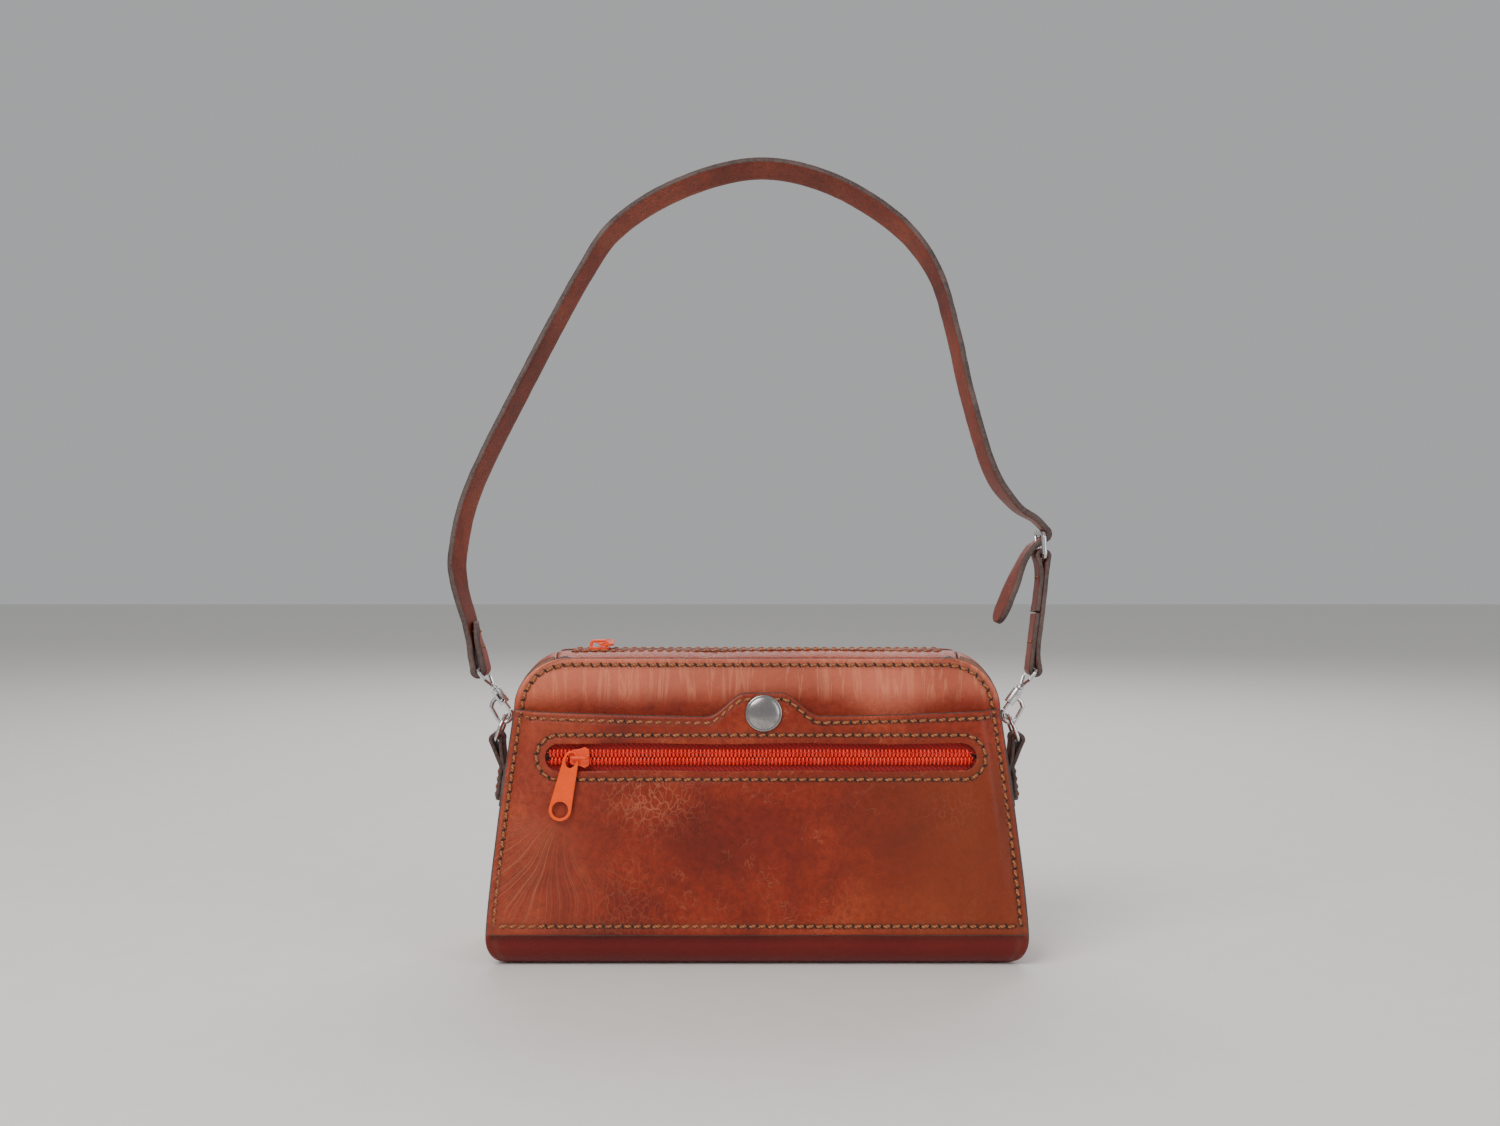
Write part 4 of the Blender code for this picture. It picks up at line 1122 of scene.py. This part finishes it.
def long_strap_twist(x, z):
    if x < 0:
        turn = 14 * smooth((z - 0.122) / 0.020) + 8 * smooth((z - 0.145) / 0.020)
        return math.radians(turn + 8 * smooth((z - 0.285) / 0.035))
    if z < 0.170:
        return math.radians(12 * smooth((0.164 - z) / 0.014))
    return math.radians(14 * smooth((z - 0.176) / 0.020) + 16 * smooth((z - 0.275) / 0.045))


def short_strap_path():
    low = eye_bar(1)
    high = BUCKLE_LOW
    bottom = EYE_WIRE + GAP + SHORT_THICK / 2
    top = BUCKLE_WIRE + GAP + SHORT_THICK / 2
    layer = (SHORT_THICK + GAP) / 2
    x_mid = (low[0] + high[0]) / 2
    z_mid = (low[1] + high[1]) / 2
    inner_low = [(x_mid - layer, z_mid - 0.0004), (low[0] - layer, low[1] + 0.0080)]
    outer = [(low[0] + layer, low[1] + 0.0080), (x_mid + layer, z_mid), (high[0] + layer, high[1] - 0.0080)]
    inner_high = [(high[0] - layer, high[1] - 0.0080), (x_mid - layer, z_mid + 0.0004)]
    lower = smooth_path(inner_low + [(low[0] - bottom, low[1])], 0.0012)[:-1]
    lower += ring_arc(low, bottom, 180, 360)
    middle = smooth_path([(low[0] + bottom, low[1])] + outer + [(high[0] + top, high[1])], 0.0012)[1:-1]
    upper = ring_arc(high, top, 0, 180)
    upper += smooth_path([(high[0] - top, high[1])] + inner_high, 0.0012)[1:]
    return lower + middle + upper


def sew_across(frames, index, reach, seed, sign):
    """A short row of stitches across a strap."""
    spot, along, front, flat = frames[index]
    lift = flat * sign * (reach + 0.0001)
    line = [(spot + front * k + lift, flat * sign) for k in spread(-0.0042, 0.0042, 6)]
    return sew(line, seed, 0.8, 0.0030)


def make_straps(finishes, sewing):
    path = long_strap_path()
    strip("strap_long_leather", path, STRAP_THICK, STRAP_WIDTH, finishes, "strap",
          ["strap_long"], long_strap_twist, ends=(0.005, 0.007))
    frames = strip_frames(path, long_strap_twist)
    parts = []
    for index in (4, 9):
        for sign, seed in ((1, 31), (-1, 37)):
            parts += sew_across(frames, index, STRAP_THICK / 2, seed + index, sign)
    short = short_strap_path()
    strip("strap_short_leather", short, SHORT_THICK, STRAP_WIDTH, finishes, "strap",
          ["strap_short"])
    frames = strip_frames(short, lambda x, z: 0.0)
    for z in (0.1275, 0.1560):
        nearest = sorted(range(len(short)), key=lambda i: abs(short[i][1] - z))[:4]
        for index in (min(nearest), max(nearest)):
            for sign, seed in ((1, 41), (-1, 43)):
                parts += sew_across(frames, index, SHORT_THICK / 2, seed + index, sign)
    add_stitches("stitching_strap", parts, sewing, "strap")


# ---------------------------------------------------------------- zips

def coil_row(place, side, half):
    """One side of the chain: a flattened spiral whose loops reach the middle line."""
    pitch = 0.00155
    inner, outer = 0.00012, 0.00295
    turns = int(2 * half / pitch)
    steps = 12
    wire = 0.00036
    points = []
    for i in range(turns * steps + 1):
        turn = math.tau * i / steps
        x = -half + pitch * i / steps + (pitch / 2 if side < 0 else 0.0)
        v = (inner + outer) / 2 - (outer - inner) / 2 * math.cos(turn)
        lean = 0.00045 * math.cos(turn)
        n = -0.00135 + 0.00052 * math.sin(turn)
        points.append(place @ Vector((x + lean, side * v, n)))
    return wire_mesh(points, wire, 5)


def wire_mesh(points, radius, count):
    """A round wire along points, as (verts, faces, material 0)."""
    verts = []
    last = None
    for i, point in enumerate(points):
        along = (points[min(i + 1, len(points) - 1)] - points[max(i - 1, 0)]).normalized()
        across = last if last is not None else along.orthogonal()
        across = (across - along * across.dot(along)).normalized()
        last = across
        up = along.cross(across)
        for k in range(count):
            turn = math.tau * k / count
            verts.append(point + across * (radius * math.cos(turn)) + up * (radius * math.sin(turn)))
    return verts, tube_faces(len(points), count), 0


def chain_thread(place, side, half):
    """The row of lock stitches that holds a coil to its tape."""
    parts = []
    across = (place.to_3x3() @ Vector((0, 1, 0))).normalized()
    normal = (place.to_3x3() @ Vector((0, 0, 1))).normalized()
    x = -half
    while x < half:
        middle = []
        for t in (-1, -0.5, 0, 0.5, 1):
            middle.append(place @ Vector((x + t * 0.0011, side * 0.0019, -0.00052 - 0.00022 * t * t)))
        parts.append(swept(middle, [(0.00022, 0.00014)] * 5, across, normal, 5, 1))
        x += 0.0026
    return parts


def tape_strip(place, side, half, reach):
    rows = []
    for x in spread(-half, half, 120):
        row = []
        for v in spread(0.0009, reach, 7):
            n = -0.0023 + 0.00006 * math.sin(x * 1400) * (v > 0.003)
            row.append(tuple(place @ Vector((x, side * v, n))))
        rows.append(row if side < 0 else row[::-1])
    return rows


def make_zip(names, place, tape_half, coil_half, reach, finishes):
    tape, coil, cord = finishes
    for side, (tape_node, coil_node) in zip((1, -1), names):
        rows = tape_strip(place, side, tape_half, reach)
        mesh = leather_sheet(tape_node + "_woven", rows, None, 0.0005)
        link(tape_node + "_woven", mesh, [tape] * 3, "bag", [tape_node])
        parts = [coil_row(place, side, coil_half)] + chain_thread(place, side, coil_half)
        mesh = mesh_of(coil_node + "_loops", parts)
        link(coil_node + "_loops", mesh, [coil, cord], "bag", [coil_node])


# ---------------------------------------------------------------- metal

def cast_copy(node, body, finish, voxel):
    """A finer copy of a CAD node with its corners softened, as cast or tumbled metal has."""
    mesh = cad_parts[node].data.copy()
    mesh.materials.clear()
    obj = link(node + "_fine", mesh, [finish], body)
    build = bmesh.new()
    build.from_mesh(mesh)
    bmesh.ops.remove_doubles(build, verts=build.verts, dist=0.00001)
    build.to_mesh(mesh)
    build.free()
    step = obj.modifiers.new("remesh", "REMESH")
    step.mode = "VOXEL"
    step.voxel_size = voxel
    step.use_smooth_shade = True
    step = obj.modifiers.new("relax", "SMOOTH")
    step.iterations = 3
    step.factor = 0.5
    bake_modifiers(obj)
    obj.data.shade_smooth()
    obj.data.materials.clear()
    obj.data.materials.append(finish)
    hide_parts(node)


def make_snap_cap(finish):
    """The pressed cap: a shallow dome with a rolled rim."""
    place = front_place(TAB_X, SNAP_Z)
    profile = [
        (0.0, 2.10), (1.5, 2.08), (3.0, 1.98), (4.5, 1.78), (5.6, 1.52), (6.1, 1.32),
        (6.3, 1.22), (6.5, 1.24), (6.8, 1.30), (7.1, 1.22), (7.35, 1.0), (7.42, 0.75),
        (7.35, 0.45), (7.1, 0.32), (6.0, 0.30), (0.0, 0.30),
    ]
    count = 72
    verts = []
    for radius, height in profile:
        for i in range(count):
            turn = math.tau * i / count
            spot = Vector((radius * math.cos(turn), radius * math.sin(turn), height))
            verts.append(place @ (spot * MM))
    faces = tube_faces(len(profile), count)[:-2]
    mesh = closed_mesh("snap_cap_pressed", verts, faces, weld=0.000005)
    link("snap_cap_pressed", mesh, [finish], "bag", ["snap_cap"])


def make_pouch(finish):
    low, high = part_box("zip_pouch")
    rows = []
    for z in spread(low.z, high.z, 24):
        row = []
        for x in spread(low.x, high.x, 60):
            y = -half_depth(z) - GAP - 0.0006 + 0.00012 * noise.noise(Vector((x * 90, 0, z * 90)))
            row.append((x, y, z))
        rows.append(row)
    mesh = leather_sheet("zip_pouch_cotton", rows, None, 0.0005)
    pouch = link("zip_pouch_cotton", mesh, [finish] * 3, "bag", ["zip_pouch"])


def paint_node(node, finish):
    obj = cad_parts[node]
    obj.data.materials.clear()
    obj.data.materials.append(finish)


# ---------------------------------------------------------------- everything together

def main():
    make_camera()
    make_studio()
    grain = leather_material("cognac_grain", (0.115, 0.008, 0.003), (0.27, 0.024, 0.006),
                             (0.42, 0.062, 0.018), (0.66, 0.24, 0.11))
    tab_grain = leather_material("dark_grain", (0.05, 0.022, 0.016), (0.085, 0.035, 0.024),
                                 (0.14, 0.055, 0.035), (0.25, 0.13, 0.08), painted=False, rough=0.5)
    strap_grain = leather_material("strap_grain", (0.10, 0.018, 0.010), (0.17, 0.030, 0.016),
                                   (0.25, 0.055, 0.028), (0.38, 0.14, 0.08), painted=False, rough=0.48)
    edge = edge_material()
    flesh = flesh_material("flesh_side", (0.20, 0.085, 0.045), (0.34, 0.16, 0.09))
    strap_flesh = flesh_material("strap_back", (0.15, 0.013, 0.005), (0.36, 0.040, 0.015))
    sewing = [thread_material(), plain_material("needle_hole", (0.035, 0.015, 0.010), 0.8)]
    nickel = metal_material("polished_nickel", (0.66, 0.66, 0.67), 0.20)
    dull = metal_material("dull_nickel", (0.42, 0.41, 0.40), 0.38)
    tape = tape_material()
    coil = nylon_material("red_nylon", (0.80, 0.018, 0.008), (0.96, 0.045, 0.018))
    cord = nylon_material("red_cord", (0.36, 0.004, 0.004), (0.52, 0.010, 0.008))
    coral = enamel_material("coral_enamel", (0.95, 0.075, 0.012), (0.98, 0.22, 0.08))
    orange = enamel_material("orange_enamel", (1.0, 0.085, 0.0), (1.0, 0.22, 0.04))
    cotton = flesh_material("pouch_cotton", (0.24, 0.18, 0.12), (0.36, 0.28, 0.20))
    board = flesh_material("fibre_board", (0.20, 0.15, 0.10), (0.32, 0.25, 0.18))

    hide = [grain, edge, flesh]
    make_body(hide)
    make_pocket(hide)
    for name, side in (("gusset_left", -1), ("gusset_right", 1)):
        make_gusset(name, side, hide)
    make_strip("top_strip_front", 1, hide)
    make_strip("top_strip_back", -1, hide)
    make_stitching(sewing)
    for side in (-1, 1):
        make_tab(side, [tab_grain, edge, tab_grain], sewing)
    make_straps([strap_grain, edge, strap_flesh], sewing)
    make_pouch(cotton)

    names = (("front_tape_upper", "front_coil_upper"), ("front_tape_lower", "front_coil_lower"))
    half = SLOT_LENGTH / 2
    make_zip(names, front_zip_place(), half + 0.002, half - 0.0015, 0.0085, (tape, coil, cord))
    names = (("top_tape_front", "top_coil_front"), ("top_tape_back", "top_coil_back"))
    make_zip(names, top_zip_place(), 0.0780, 0.0770, 0.0056, (tape, coil, cord))

    make_snap_cap(metal_material("snap_steel", (0.36, 0.34, 0.335), 0.20))
    for body in ("front_slider", "top_slider"):
        cast_copy(body, body, coral, 0.00016)
    for body in ("front_pull", "top_pull"):
        cast_copy(body, body, orange, 0.00018)
    for name in ("left", "right"):
        cast_copy("ring_" + name, "ring_" + name, nickel, 0.00018)
        cast_copy("hook_body_" + name, "hook_" + name, nickel, 0.00015)
        cast_copy("trigger_bolt_" + name, "trigger_" + name, nickel, 0.00012)
        cast_copy("swivel_eye_" + name, "strap", nickel, 0.00015)
    cast_copy("buckle_frame", "strap", nickel, 0.00018)
    cast_copy("buckle_prong", "prong", nickel, 0.00012)
    for node in ("snap_socket", "snap_stud", "snap_washer"):
        paint_node(node, dull)
    paint_node("base_board", board)

    boxes = {"cad": cad_box, "visual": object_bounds()}
    boxes = {name: [list(corner) for corner in box] for name, box in boxes.items()}


main()
